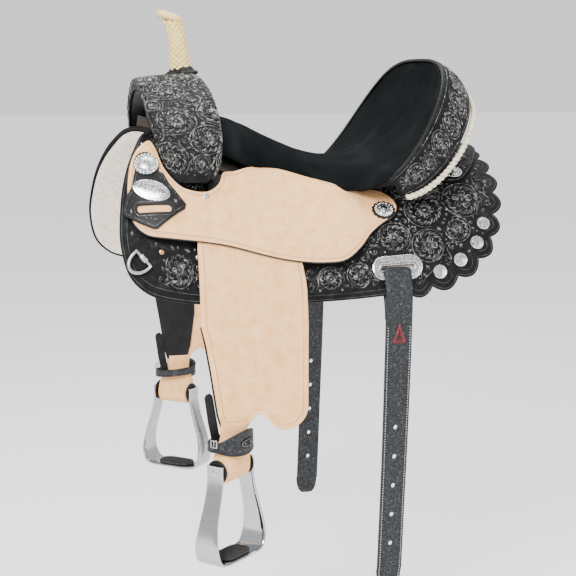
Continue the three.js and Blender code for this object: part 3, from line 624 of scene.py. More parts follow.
def mottled(name, stops, roughness, scale, grain, grain_depth, metallic=0.0, specular=0.5, sheen=0.0,
            stretch=None, rough_spread=0.0, distortion=0.4):
    """A finish whose colour wanders between stops, with a fine grain over it."""
    made, nodes, links, bsdf = new_material(name, stops[0][1], roughness, metallic, specular)
    wander = noise_node(nodes, links, scale, 5.0, stretch, distortion)
    ramp = ramp_node(nodes, links, wander.outputs["Fac"], stops)
    links.new(ramp.outputs["Color"], bsdf.inputs["Base Color"])
    fine = noise_node(nodes, links, grain, 3.0)
    add_bump(nodes, links, bsdf, fine.outputs["Fac"], 0.6, grain_depth)
    if sheen:
        bsdf.inputs["Sheen Weight"].default_value = sheen
        bsdf.inputs["Sheen Roughness"].default_value = 0.5
    if rough_spread:
        spread = nodes.new("ShaderNodeMapRange")
        spread.inputs["To Min"].default_value = roughness - rough_spread
        spread.inputs["To Max"].default_value = roughness + rough_spread
        links.new(wander.outputs["Fac"], spread.inputs["Value"])
        links.new(spread.outputs["Result"], bsdf.inputs["Roughness"])
    return made


def stippled(name, stops, roughness, scale, cells, depth, specular=0.3):
    """Leather with a beaded, stamped ground."""
    made, nodes, links, bsdf = new_material(name, stops[0][1], roughness, 0.0, specular)
    wander = noise_node(nodes, links, scale, 5.0, None, 0.6)
    ramp = ramp_node(nodes, links, wander.outputs["Fac"], stops)
    links.new(ramp.outputs["Color"], bsdf.inputs["Base Color"])
    beads = cell_node(nodes, links, cells)
    add_bump(nodes, links, bsdf, beads.outputs["Distance"], 0.7, depth)
    return made


NATURAL = mottled(
    "natural_roughout", [(0.25, (0.84, 0.42, 0.16)), (0.5, (0.92, 0.52, 0.23)), (0.8, (0.96, 0.60, 0.31))],
    0.9, 60, 1400, 0.00035, specular=0.1)
NATURAL_EDGE = mottled(
    "natural_crease", [(0.3, (0.30, 0.13, 0.05)), (0.7, (0.50, 0.24, 0.10))], 0.8, 200, 1800, 0.0002)
TOOLED = stippled(
    "tooled_ground", [(0.35, (0.002, 0.002, 0.0025)), (0.62, (0.007, 0.0075, 0.008)), (0.85, (0.035, 0.036, 0.038))],
    0.5, 90, 1100, 0.0004, specular=0.12)
RELIEF = mottled(
    "antiqued_relief", [(0.36, (0.008, 0.008, 0.009)), (0.52, (0.08, 0.08, 0.08)), (0.72, (0.46, 0.43, 0.40))],
    0.36, 170, 1500, 0.0002, metallic=0.25, distortion=0.8)
BLACK = mottled(
    "black_leather", [(0.3, (0.003, 0.003, 0.0035)), (0.75, (0.010, 0.010, 0.011))], 0.45, 60, 1300, 0.0003,
    specular=0.2)
EDGE = mottled("burnished_edge", [(0.3, (0.004, 0.004, 0.004)), (0.8, (0.014, 0.013, 0.013))], 0.3, 90, 900, 0.0001)
STRAP = mottled(
    "worn_strap", [(0.30, (0.006, 0.007, 0.008)), (0.54, (0.020, 0.022, 0.025)), (0.80, (0.09, 0.095, 0.105))],
    0.5, 300, 1300, 0.00035, rough_spread=0.1, distortion=0.5,
    specular=0.25)
SUEDE = mottled(
    "black_suede", [(0.25, (0.003, 0.004, 0.0045)), (0.55, (0.006, 0.0075, 0.008)), (0.85, (0.012, 0.015, 0.016))],
    0.95, 14, 2200, 0.0004, specular=0.03, distortion=1.0)
FLEECE_WOOL = mottled(
    "fleece_wool", [(0.25, (0.55, 0.45, 0.36)), (0.5, (0.74, 0.65, 0.56)), (0.8, (0.86, 0.79, 0.71))],
    0.98, 160, 900, 0.0012, sheen=0.35, specular=0.1)
RAWHIDE = mottled(
    "braided_rawhide", [(0.25, (0.60, 0.38, 0.10)), (0.5, (0.84, 0.64, 0.24)), (0.8, (0.92, 0.76, 0.36))],
    0.5, 240, 1500, 0.0002)
LACING = mottled(
    "rawhide_lacing", [(0.2, (0.42, 0.34, 0.22)), (0.5, (0.76, 0.68, 0.52)), (0.8, (0.86, 0.80, 0.68))],
    0.6, 160, 1400, 0.0003)
THREAD = mottled("pale_thread", [(0.3, (0.50, 0.50, 0.48)), (0.7, (0.72, 0.71, 0.67))], 0.8, 300, 2500, 0.0001)
TAN_THREAD = mottled("tan_thread", [(0.3, (0.42, 0.24, 0.13)), (0.7, (0.58, 0.35, 0.20))], 0.8, 300, 2500, 0.0001)
RED_LACE = mottled("red_lace", [(0.3, (0.10, 0.006, 0.010)), (0.7, (0.24, 0.018, 0.028))], 0.5, 200, 1500, 0.0002)
SILVER = mottled(
    "engraved_silver", [(0.36, (0.10, 0.10, 0.11)), (0.46, (0.62, 0.62, 0.64)), (0.6, (0.86, 0.86, 0.87))],
    0.22, 420, 700, 0.0003,
    metallic=1.0, rough_spread=0.08)
SILVER_DARK = mottled(
    "silver_shadow", [(0.3, (0.14, 0.14, 0.15)), (0.7, (0.42, 0.42, 0.44))], 0.4, 260, 900, 0.0002, metallic=1.0)
STEEL = mottled("plain_steel", [(0.3, (0.36, 0.37, 0.39)), (0.7, (0.55, 0.56, 0.58))], 0.34, 120, 1500, 0.0001,
                metallic=1.0)
ALUMINIUM = mottled(
    "polished_aluminium", [(0.3, (0.40, 0.41, 0.43)), (0.7, (0.46, 0.47, 0.49))], 0.11, 30, 1100, 0.00003,
    metallic=1.0, stretch=(1, 1, 9), rough_spread=0.05)
RUBBER = mottled(
    "tread_rubber", [(0.3, (0.010, 0.010, 0.011)), (0.7, (0.030, 0.030, 0.031))], 0.75, 150, 1600, 0.0002)
COPPER = mottled("copper_rivet", [(0.3, (0.50, 0.22, 0.12)), (0.7, (0.78, 0.40, 0.25))], 0.32, 300, 1500, 0.0001,
                 metallic=1.0)
WOOD = mottled("tree_rawhide", [(0.3, (0.012, 0.009, 0.007)), (0.7, (0.035, 0.024, 0.016))], 0.7, 60, 900, 0.0003,
               stretch=(1, 6, 6))


# ---- tooling: scrollwork raised on a leather surface ----
class Tooling:
    """Ridges and beads drawn in (u, v), each standing `height` off the leather."""

    def __init__(self, seed):
        self.random = np.random.RandomState(seed)
        self.points = []
        self.faces = []
        self.count = 0

    def ridge(self, path, width, height=0.9):
        """A tapered ridge along a path; width is one number or one for each point."""
        p = np.asarray(path, float)
        if len(p) < 2:
            return
        width = np.broadcast_to(np.asarray(width, float), (len(p),))
        tangent = np.gradient(p, axis=0)
        tangent /= np.maximum(1e-9, np.linalg.norm(tangent, axis=1))[:, None]
        normal = np.stack([-tangent[:, 1], tangent[:, 0]], 1)
        left = np.column_stack([p + normal * width[:, None] / 2, np.full(len(p), -0.35)])
        top = np.column_stack([p, height * np.sqrt(width / width.max())])
        right = np.column_stack([p - normal * width[:, None] / 2, np.full(len(p), -0.35)])
        self.points.append(np.stack([left, top, right], 1).reshape(-1, 3))
        faces = grid_faces(len(p), 3, False, True)
        self.faces += [tuple(i + self.count for i in f) for f in faces]
        self.count += 3 * len(p)

    def taper(self, path, width, height=0.9):
        along = np.linspace(0, 1, len(path))
        self.ridge(path, width * (0.12 + np.sin(math.pi * np.minimum(1, along ** 0.75)) ** 0.8 * 0.88), height)

    def bead(self, centre, radius, height=1.3):
        angles = 2 * math.pi * np.arange(8) / 8
        rows = []
        for r, h in ((1, -0.35), (0.95, height * 0.35), (0.6, height * 0.85), (0.15, height)):
            ring = np.asarray(centre) + radius * r * np.stack([np.cos(angles), np.sin(angles)], 1)
            rows.append(np.column_stack([ring, np.full(8, h)]))
        self.points.append(np.vstack(rows))
        self.faces += [tuple(i + self.count for i in f) for f in grid_faces(4, 8, False, True)]
        self.count += 32

    def arc(self, centre, radius, start, sweep, width, spiral=0.0, height=0.9, steps=None):
        steps = steps or max(5, int(abs(sweep) * radius / 2.2))
        t = np.linspace(0, 1, steps)
        angle = start + sweep * t
        reach = radius * (1 - spiral * t)
        path = np.asarray(centre) + (reach * np.stack([np.cos(angle), np.sin(angle)])).T
        self.taper(path, width, height)
        return path

    def flower(self, centre, radius, turn):
        """A five-petalled flower in a wheel of cut leaves."""
        centre = np.asarray(centre)
        self.bead(centre, radius * 0.10, 1.7)
        for k in range(5):
            a = turn + 2 * math.pi * k / 5
            t = np.linspace(0, 1, 15)
            reach = radius * (0.18 + 0.36 * np.sin(math.pi * t) ** 0.6)
            angle = a + (t - 0.5) * 1.16
            reach = reach * (1 - 0.16 * np.exp(-((t - 0.5) / 0.09) ** 2))
            petal = centre + (reach * np.stack([np.cos(angle), np.sin(angle)])).T
            self.ridge(petal, radius * 0.06 + 0.4, 1.3)
            for lean, size in ((-0.34, 0.75), (0.0, 1.0), (0.34, 0.75)):
                reach = np.linspace(0.14, 0.20 + 0.27 * size, 5) * radius
                vein = centre + np.outer(reach, [math.cos(a + lean), math.sin(a + lean)])
                self.taper(vein, radius * 0.13 + 0.3, 1.0)
        leaves = 13
        for k in range(leaves):
            a = turn + 2 * math.pi * (k + 0.5) / leaves
            t = np.linspace(0, 1, 7)
            angle = a + 0.42 * t ** 1.3
            reach = radius * (0.58 + 0.32 * t)
            stroke = centre + (reach * np.stack([np.cos(angle), np.sin(angle)])).T
            self.taper(stroke, radius * 0.13 + 0.4, 1.2)
            angle = a + 0.30 + 0.30 * t
            reach = radius * (0.70 + 0.16 * t)
            stroke = centre + (reach * np.stack([np.cos(angle), np.sin(angle)])).T
            self.taper(stroke, radius * 0.09 + 0.3, 0.9)
        self.arc(centre, radius, turn, 4.6, radius * 0.05 + 0.7, 0.0, 1.1)

    def scroll(self, centre, radius, turn, sense):
        """A spiral stem that throws leaves outwards."""
        centre = np.asarray(centre)
        self.arc(centre, radius * 0.86, turn, sense * 7.6, radius * 0.07 + 0.7, 0.80, 1.1)
        self.bead(centre, radius * 0.11 + 0.2, 1.3)
        for k in range(6):
            a = turn + sense * (0.35 + 0.78 * k)
            base = radius * (0.80 - 0.08 * k)
            t = np.linspace(0, 1, 7)
            for lean, size in ((0.55, 1.0), (0.30, 0.7)):
                angle = a + sense * lean * t ** 1.4
                reach = base + radius * (0.30 * size) * np.sin(t * math.pi * 0.62) * (1 if k < 3 else -0.8)
                self.taper(centre + (reach * np.stack([np.cos(angle), np.sin(angle)])).T, radius * 0.14 + 0.45, 1.1)

    def leaf(self, centre, radius, turn):
        """A fan of cut strokes from one stem."""
        centre = np.asarray(centre)
        along = np.array([math.cos(turn), math.sin(turn)])
        across = np.array([-along[1], along[0]])
        root = centre - along * radius * 0.85
        for side in (-1.0, -0.5, 0.0, 0.5, 1.0):
            t = np.linspace(0, 1, 7)[:, None]
            length = radius * (1.75 - 0.45 * abs(side))
            path = root + along * length * t * (1 - 0.22 * abs(side) * t) + across * side * radius * 0.75 * t ** 1.6
            self.taper(path, radius * 0.2 + 0.4, 1.0)

    def fill(self, region, blocked, sizes, margin=1.5, tries=5000, keep_out=()):
        """Packs flowers, scrolls and leaves into a region, largest first."""
        low, high = region.min(0), region.max(0)
        placed = []
        for size in sizes:
            spots = low + self.random.rand(tries, 2) * (high - low)
            spots = spots[inside(spots, region)]
            room = distance(spots, region)
            for polygon in blocked:
                spots, room = spots[~inside(spots, polygon)], room[~inside(spots, polygon)]
                room = np.minimum(room, distance(spots, polygon))
            for cx, cy, r in keep_out:
                room = np.minimum(room, np.hypot(spots[:, 0] - cx, spots[:, 1] - cy) - r)
            good = room > size + margin * 0.2
            spots = spots[good]
            for spot in spots:
                if all(math.hypot(spot[0] - x, spot[1] - y) > size * 0.96 + r * 0.96 + margin * 0.4
                       for x, y, r in placed):
                    placed.append((spot[0], spot[1], size))
        for i, (x, y, r) in enumerate(placed):
            turn = self.random.rand() * 2 * math.pi
            if r >= 13:
                self.flower((x, y), r, turn)
            elif r >= 6.5:
                self.scroll((x, y), r, turn, 1 if i % 2 else -1)
            elif r >= 2.4:
                self.leaf((x, y), r, turn)
            else:
                self.bead((x, y), r * 0.55, 0.9)
        for i, (x, y, r) in enumerate(placed):
            if r < 6.5:
                continue
            near = sorted((math.hypot(x - a, y - b) - c, j)
                          for j, (a, b, c) in enumerate(placed) if j != i and c >= 6.5)
            for _, j in near[:2]:
                a, b, c = placed[j]
                self.join((x, y, r), (a, b, c))

    def join(self, first, second):
        """A stem that sweeps from one wheel round to the next."""
        x, y, r = first
        a, b, c = second
        heading = math.atan2(b - y, a - x)
        start = np.array([x + r * math.cos(heading + 1.1), y + r * math.sin(heading + 1.1)])
        end = np.array([a + c * math.cos(heading + math.pi + 1.1), b + c * math.sin(heading + math.pi + 1.1)])
        lead = np.array([math.cos(heading - 0.5), math.sin(heading - 0.5)]) * np.linalg.norm(end - start) * 0.5
        t = np.linspace(0, 1, 12)[:, None]
        path = (1 - t) ** 3 * start + 3 * (1 - t) ** 2 * t * (start + lead)
        path = path + 3 * (1 - t) * t ** 2 * (end - lead) + t ** 3 * end
        self.taper(path, 2.5, 1.2)

    def shape(self, place, level):
        made = Shape()
        p = np.vstack(self.points)
        made.add(place(p[:, 0], p[:, 1], level_at(level, p[:, 0], p[:, 1]) + p[:, 2]), self.faces)
        return made


# ---- outlines on the back, as in the CAD source ----
SCALLOP_CUSPS = [
    (122, 308), (163, 302), (205, 289), (240, 266), (264, 236), (276, 201),
    (286, 163), (288, 122), (288, 82), (287, 44), (285, 6),
]


def scallops(cusps, bulge, steps):
    points = []
    for (ax, a_s), (bx, b_s) in zip(cusps[:-1], cusps[1:]):
        length = math.hypot(bx - ax, b_s - a_s)
        out = (-(b_s - a_s) / length, (bx - ax) / length)
        for k in range(steps):
            part = k / steps
            lift = bulge * math.sin(math.pi * part) ** 0.8
            points.append((ax + (bx - ax) * part + out[0] * lift, a_s + (b_s - a_s) * part + out[1] * lift))
    return points + [cusps[-1]]


SKIRT_FRONT = spline([
    (150, 8), (60, 34), (-60, 52), (-215, 66), (-243, 88), (-267, 134), (-287, 183), (-296, 222), (-298, 252),
    (-288, 284), (-264, 302), (-225, 311), (-120, 318), (0, 318), (85, 313), (122, 308)], 8, closed=False)
SKIRT_OUTLINE = np.vstack([SKIRT_FRONT[:-1], scallops(SCALLOP_CUSPS, 13, 12), [(220, 6)]])
FLEECE_OUTLINE = spline([
    (150, 16), (60, 40), (-60, 58), (-205, 72), (-240, 90), (-264, 136), (-284, 183), (-293, 222), (-295, 250),
    (-285, 281), (-262, 298), (-225, 306), (-120, 313), (0, 313), (85, 309), (160, 297), (200, 284), (235, 262),
    (258, 233), (271, 198), (280, 160), (282, 120), (282, 60), (278, 16)], 5)
JOCKEY_OUTLINE = spline([
    (-244, 128), (-261, 138), (-274, 158), (-282, 186), (-284, 210), (-278, 232), (-262, 244), (-232, 248),
    (-143, 247), (-56, 257), (-5, 260), (28, 257), (56, 237), (78, 212), (99, 196), (119, 185), (127, 170),
    (122, 148), (105, 129), (81, 124), (49, 131), (13, 108), (-23, 80), (-48, 78), (-90, 106), (-119, 131),
    (-138, 142), (-148, 162), (-166, 179), (-187, 185), (-208, 183), (-227, 165), (-237, 138)], 7)
KEEPER_TOP_ROUND = [
    (-253 + 18 * math.cos(a), 165 + 18 * math.sin(a)) for a in np.linspace(math.radians(158), math.radians(382), 14)]
KEEPER_OUTLINE = np.array(KEEPER_TOP_ROUND + [
    (-230, 174), (-224, 185), (-213, 196), (-202, 207), (-204, 213), (-246, 239), (-252, 239), (-291, 226),
    (-292, 220), (-285, 203), (-277, 193), (-273, 180)])
REAR_HALF = spline([
    (298, 0), (300, 40), (284, 84), (258, 122), (236, 137), (214, 130), (205, 100), (206, 50), (212, 0)],
    6, closed=False)
REAR_OUTLINE = np.vstack([REAR_HALF, REAR_HALF[1:-1][::-1] * (1, -1)])
KEEPER_SLOT = racetrack(-248, 217, 48, 8, -0.05)
REAR_SLOT = racetrack(REAR_PLATE[0], REAR_PLATE[1] + 1, 55, 9)
FRONT_SLOT = racetrack(FRONT_PLATE[0], FRONT_PLATE[1], 76, 11)
REAR_PLATE_EDGE = racetrack(*REAR_PLATE, 78, 38, steps=20)
SMALL_CONCHOS = [(176, 281), (210, 266), (240, 243), (256, 215)]


def outward(x, s, level):
    """The near side's outward direction of a surface over the back."""
    step = 6.0
    at = lambda a, b: on_back(a, b, level_at(level, np.asarray(float(a)), np.asarray(float(b))))
    normal = np.cross(at(x, s + step) - at(x, s - step), at(x + step, s) - at(x - step, s))
    normal /= np.linalg.norm(normal)
    return normal if normal[2] > 0 else -normal


# ---- skirts, fleece and jockeys ----
def wool(flat, away, upper):
    """Tufts over the fleece's free face and its edge."""
    out = np.zeros(len(flat))
    for i, (u, v) in enumerate(flat):
        tuft = noise.noise(Vector((u / 7.0, v / 7.0, 3.1))) + 0.5 * noise.noise(Vector((u / 3.1, v / 3.1, 9.2)))
        out[i] = tuft
    return out * (0.15 if upper else 1.5)


def build_fleece():
    shape = Shape()
    cuts = [racetrack(*FRONT_PLATE, 124, 48)]
    cut_sheet(shape, FLEECE_OUTLINE, on_back, -GAP - FLEECE, FLEECE, cuts, 4.5, edge=4.5, wave=wool)
    emit_pair("fleece_lining", shape, FLEECE_WOOL, "root", ["fleece"])


def build_skirt():
    shape = Shape()
    cut_sheet(shape, SKIRT_OUTLINE, on_back, 0, SKIRT, [REAR_SLOT, FRONT_SLOT], 7.0)
    emit_pair("skirt_leather", shape, TOOLED, "root", ["skirt"])
    line = Tooling(1)
    for amount, width in ((3.2, 0.9), (10.5, 0.8)):
        edge_line = inset(SKIRT_OUTLINE, amount, 1.6)
        for run in split_runs(edge_line, 6.0):
            line.ridge(run, width, 0.55)
    border = line.shape(on_back, SKIRT)
    emit_pair("skirt_border", border, EDGE_LINE, "root")
    tooling = Tooling(11)
    region = inset(SKIRT_OUTLINE, 12.5, 3.0)
    blocked = [JOCKEY_OUTLINE, REAR_PLATE_EDGE, REAR_OUTLINE]
    keep_out = [(x, s, 13.5) for x, s in SMALL_CONCHOS] + [(-267, 268, 22), (-240, 259, 6), (-188, 261, 6)]
    tooling.fill(region, blocked, (31, 26, 20, 15, 11, 8.5, 7, 5.6, 4.4, 3.4, 2.6), 0.9, 9000, keep_out)
    emit_pair("skirt_tooling", tooling.shape(on_back, SKIRT), RELIEF, "root")


def split_runs(path, jump, closed=True):
    """Breaks a path wherever two of its points are far apart."""
    if closed:
        path = closed_path(path)
    gaps = np.linalg.norm(np.diff(path, axis=0), axis=1)
    runs = np.split(path, np.where(gaps > jump)[0] + 1)
    return [r for r in runs if len(r) > 3]


EDGE_LINE = mottled("edge_crease", [(0.35, (0.03, 0.031, 0.034)), (0.75, (0.12, 0.12, 0.125))], 0.4, 90, 1200, 0.0001)


def edge_band(outline, low, thickness):
    """A dark burnished edge along a sheet's outline."""
    shape = Shape()
    line = resample(inset(outline, 0.9, 2.0), 3.0, True)
    levels = level_at(low, line[:, 0], line[:, 1]) + thickness / 2
    tube(shape, on_back(line[:, 0], line[:, 1], levels), thickness / 2 - 0.35, 10, closed=True)
    return shape


def build_jockey():
    shape = Shape()
    cut_sheet(shape, JOCKEY_OUTLINE, on_back, jockey_lift, JOCKEY, [], 7.0)
    emit_pair("jockey_leather", shape, NATURAL, "root", ["seat_jockey"])
    emit_pair("jockey_edge", edge_band(JOCKEY_OUTLINE, jockey_lift, JOCKEY), EDGE, "root")
    crease = Tooling(2)
    for run in split_runs(inset(JOCKEY_OUTLINE, 6.0), 6.0):
        crease.ridge(run, 1.3, 0.3)
    emit_pair("jockey_crease", crease.shape(on_back, jockey_top), NATURAL_EDGE, "root")
    threads = Shape()
    for run in split_runs(inset(JOCKEY_OUTLINE, 4.2), 6.0):
        stitch_line(threads, run, on_back, lambda u, v: jockey_top(u, v) + 0.1, 1.8, 3.0, 0.30)
    emit_pair("jockey_stitching", threads, TAN_THREAD, "root")


def build_keeper():
    shape = Shape()
    low = lambda x, s: jockey_top(x, s) + GAP
    cut_sheet(shape, KEEPER_OUTLINE, on_back, low, KEEPER, [KEEPER_SLOT], 4.0, edge=1.2)
    emit_pair("latigo_keeper_leather", shape, BLACK, "root", ["latigo_keeper"])
    tooling = Tooling(5)
    for run in split_runs(inset(KEEPER_OUTLINE, 3.2, 1.5), 5.0):
        tooling.ridge(run, 0.7, 0.4)
    grown = racetrack(-248, 217, 56, 15, -0.05)
    for run in split_runs(resample(grown, 1.5, True), 5.0):
        tooling.ridge(run, 0.8, 0.4)
    region = inset(KEEPER_OUTLINE, 4.6, 1.5)
    oval = racetrack(-250, 197, 56, 27, 0.14)
    tooling.fill(region, [grown, oval], (7, 5, 3.6, 2.4), 0.8, 3000, [(-253, 165, 20)])
    emit_pair("latigo_keeper_tooling", tooling.shape(on_back, keeper_top), RELIEF, "root")


def build_rear_jockey():
    shape = Shape()
    cut_sheet(shape, REAR_OUTLINE, on_back, SKIRT + GAP, 3.0, [], 6.0, edge=1.3)
    emit("rear_jockey_leather", shape, TOOLED, "root", ["rear_jockey"])
    tooling = Tooling(21)
    for run in split_runs(inset(REAR_OUTLINE, 3.0), 6.0):
        tooling.ridge(run, 0.9, 0.5)
    region = inset(REAR_OUTLINE, 5.5, 2.5)
    tooling.fill(region, [], (22, 16, 11, 8, 6, 4.4), 1.2, 4000, [(234, 119, 17), (234, -119, 17)])
    emit("rear_jockey_tooling", tooling.shape(on_back, SKIRT + GAP + 3.0), RELIEF, "root")


# ---- conchos, rivets and screws ----
def spokes(axis, count, turn=0.0):
    """Unit vectors spread evenly round an axis."""
    side = np.cross(axis, [1.0, 0, 0])
    side /= np.linalg.norm(side)
    across = np.cross(side, axis)
    angles = [2 * math.pi * (k + turn) / count for k in range(count)]
    return [across * math.cos(a) + side * math.sin(a) for a in angles]


def build_concho(name, x, s, level, radius, height, body_nodes, berries=18, rosette=None):
    """A domed silver concho with a beaded edge, cut petals and a screw head."""
    axis = outward(x, s, level)
    seat_at = on_back(x, s, level_at(level, np.asarray(float(x)), np.asarray(float(s)))) + axis * 1.2
    shape = Shape()
    lathe(shape, [
        (0.1, 0), (radius * 0.90, 0), (radius * 0.93, 0.8), (radius * 0.90, 1.5), (radius * 0.72, height * 0.42),
        (radius * 0.66, height * 0.62), (radius * 0.62, height * 0.60), (radius * 0.42, height * 0.86),
        (radius * 0.30, height * 0.95), (0.1, height)], seat_at, axis, 40)
    size = math.pi * radius * 0.88 / berries * 0.96
    for spoke in spokes(axis, berries):
        dome(shape, seat_at + spoke * radius * 0.87 + axis * 0.9, axis, size, size * 1.05, 10, 4)
    for spoke in spokes(axis, 12, 0.5):
        path = [seat_at + spoke * radius * f + axis * (height * h)
                for f, h in ((0.34, 0.94), (0.48, 0.80), (0.61, 0.62))]
        tube(shape, path, [0.5, 1.1, 0.5], 6, squash=0.6)
    tube(shape, [seat_at + axis * (height - 0.5), seat_at + axis * (height + 0.7)], radius * 0.2, 14)
    pair = emit_pair(name, shape, SILVER, "root", body_nodes, sharp=50)
    if rosette:
        plate = Shape()
        ruffle = lambda angles, r: 1 + 0.05 * np.cos(14 * angles) * (r > 4)
        lathe(plate, [(0.1, 0), (rosette, 0), (rosette, 1.4), (rosette * 0.9, 1.9), (0.1, 2.0)],
              seat_at - axis * 1.1, axis, 112, ruffle)
        emit_pair(f"{name}_rosette", plate, BLACK, "root")
    return pair


def small_studs():
    conchos = Shape()
    petals = Shape()
    for x, s in SMALL_CONCHOS:
        axis = outward(x, s, SKIRT)
        at = on_back(x, s, SKIRT)
        lathe(conchos, [
            (0.1, -0.2), (10.6, -0.2), (10.6, 0.9), (9.9, 1.7), (8.6, 1.9), (6.0, 2.6), (2.4, 3.2), (0.1, 3.3)],
            at, axis, 36)
        for spoke in spokes(axis, 10):
            path = [at + spoke * r + axis * h for r, h in ((2.6, 3.2), (5.0, 2.9), (8.0, 2.1))]
            tube(petals, path, [0.3, 0.8, 0.3], 6, squash=0.5)
        dome(petals, at + axis * 3.0, axis, 2.2, 0.9, 12, 3)
    emit_pair("scallop_conchos", conchos, SILVER, "root", sharp=40)
    emit_pair("scallop_concho_petals", petals, SILVER_DARK, "root")
    rivets = Shape()
    for x, s in ((-240, 259), (-188, 261)):
        dome(rivets, on_back(x, s, SKIRT), outward(x, s, SKIRT), 4.2, 1.8, 20, 4)
    emit_pair("copper_rivets", rivets, COPPER, "root")
    screws = Shape()
    for x, s, level, r in ((-170, 188, jockey_top, 4.6), (-250, 120, SKIRT, 4.2)):
        height = level_at(level, np.asarray(float(x)), np.asarray(float(s)))
        axis = outward(x, s, level)
        at = on_back(x, s, height)
        lathe(screws, [(0.1, -0.3), (r, -0.3), (r, 0.6), (r * 0.8, 1.3), (r * 0.45, 1.5), (0.1, 1.1)], at, axis, 24)
    emit_pair("jockey_screws", screws, SILVER, "root", sharp=40)


def build_oval_plate():
    """A silver oval with a rope edge and a plain scroll."""
    low = keeper_top
    place = on_back
    x, s, tilt = -250, 197, 0.14
    shape = Shape()
    angles = np.linspace(0, 2 * math.pi, 64, endpoint=False)
    cos, sin = math.cos(tilt), math.sin(tilt)
    oval = lambda a, b: np.stack([x + a * np.cos(angles) * cos - b * np.sin(angles) * sin,
                                  s + a * np.cos(angles) * sin + b * np.sin(angles) * cos], 1)
    edge = oval(26, 12)
    crown = lambda flat, away, upper: np.where(upper, 1, 0) * 1.3 * smooth_step(away / 9)
    cut_sheet(shape, edge, place, lambda u, v: low(u, v) + 0.1, 1.6, [], 2.6, edge=0.7, wave=crown)
    emit_pair("keeper_oval", shape, SILVER, "root", ["keeper_plate"])
    art = Tooling(3)
    rope = closed_path(resample(oval(23.6, 9.8), 1.8, True))
    for a, b in zip(rope[:-1], rope[1:]):
        middle, along = (a + b) / 2, (b - a)
        across = np.array([-along[1], along[0]])
        art.ridge([middle - along * 0.3 - across * 0.5, middle + along * 0.3 + across * 0.5], 0.8, 0.5)
    for sign in (-1, 1):
        for k, (du, r) in enumerate(((5, 4.6), (12.5, 3.4))):
            centre = (x + sign * du * cos, s + sign * du * sin)
            art.arc(centre, r, 1.2 * sign + k, sign * 6.4, 0.9, 0.8, 0.5)
            art.leaf((x + sign * (du + 4.2) * cos, s + sign * (du + 4.2) * sin), 2.4, 0.0 if sign > 0 else math.pi)
    art.bead((x, s), 1.3, 0.9)

    def level(u, v):
        away = distance(np.stack([np.ravel(u), np.ravel(v)], 1), edge)
        return low(u, v) + 1.7 + 1.3 * smooth_step(away / 9).reshape(np.shape(u))

    emit_pair("keeper_oval_scroll", art.shape(place, level), SILVER_DARK, "root")


def upright_plane(y):
    """A place function for a near-side upright plane: u is x, v is z and the height goes outwards."""
    def place(u, v, n):
        u, v, n = as_arrays(u, v, n)
        return np.stack([u, -(y + n), v], -1)
    return place


def unrounded(away, edge):
    """How far cut_sheet rounds a sheet's face down at this distance from its outline."""
    inward = np.minimum(away, edge)
    return edge - np.sqrt(np.maximum(0, edge ** 2 - (edge - inward) ** 2))


# ---- rigging ----
def build_rear_plate():
    """The silver plate over the rear slot, with a rope edge and plain scrolls."""
    shape = Shape()
    crown = lambda flat, away, upper: np.where(upper, 1, 0) * 1.1 * smooth_step(away / 4.5)
    slot = racetrack(REAR_PLATE[0], REAR_PLATE[1] + 1, 53, 8.5)
    cut_sheet(shape, REAR_PLATE_EDGE, on_back, SKIRT + GAP, 2.3, [slot], 3.0, edge=0.8, wave=crown)
    emit_pair("rear_plate", shape, SILVER, "root", ["rear_rigging_plate"])
    level = lambda u, v: SKIRT + GAP + 2.3 + 1.1
    art = Tooling(31)
    edge = closed_path(resample(inset(REAR_PLATE_EDGE, 3.2, 1.0), 2.4, True))
    for a, b in zip(edge[:-1], edge[1:]):
        middle, along = (a + b) / 2, (b - a)
        across = np.array([-along[1], along[0]])
        art.ridge([middle - along * 0.32 - across * 0.42, middle + along * 0.32 + across * 0.42], 1.1, 0.8)
    lip = racetrack(REAR_PLATE[0], REAR_PLATE[1] + 1, 58, 13, steps=12)
    art.ridge(closed_path(resample(lip, 1.5, True)), 1.4, 0.9)
    region = inset(REAR_PLATE_EDGE, 5.6, 1.5)
    art.fill(region, [racetrack(REAR_PLATE[0], REAR_PLATE[1] + 1, 61, 16)], (5.6, 4.2, 3.2, 2.3), 0.5, 2500)
    emit_pair("rear_plate_scroll", art.shape(on_back, level), SILVER_DARK, "root")


def build_front_plate():
    shape = Shape()
    edge = racetrack(*FRONT_PLATE, 118, 42, steps=20)
    cut_sheet(shape, edge, on_back, -GAP - 3, 3.0, [FRONT_SLOT], 4.0, edge=0.8)
    emit_pair("front_plate", shape, STEEL, "root", ["front_rigging_plate"])
    rim = Shape()
    path = closed_path(resample(racetrack(*FRONT_PLATE, 78, 13), 2.0, True))
    tube(rim, [on_back(x, s, SKIRT + 0.1) for x, s in path[:-1]], 1.1, 8, closed=True)
    emit_pair("front_slot_rim", rim, BLACK, "root")


BILLET_BEND = ("root", "billet_strap", (108, -244, -204), (108, -244, -244))
# the billet's turn through the plate: (height, distance down the back)
LOOP_LINE = [
    (10.6, 309), (10.7, 302), (10.8, 296), (10.8, 286), (10.6, 277), (6.0, 271.5), (3.0, 270.6), (-0.6, 270.8),
    (-3.4, 274), (-3.6, 284), (-3.6, 298), (-3.4, 312)]


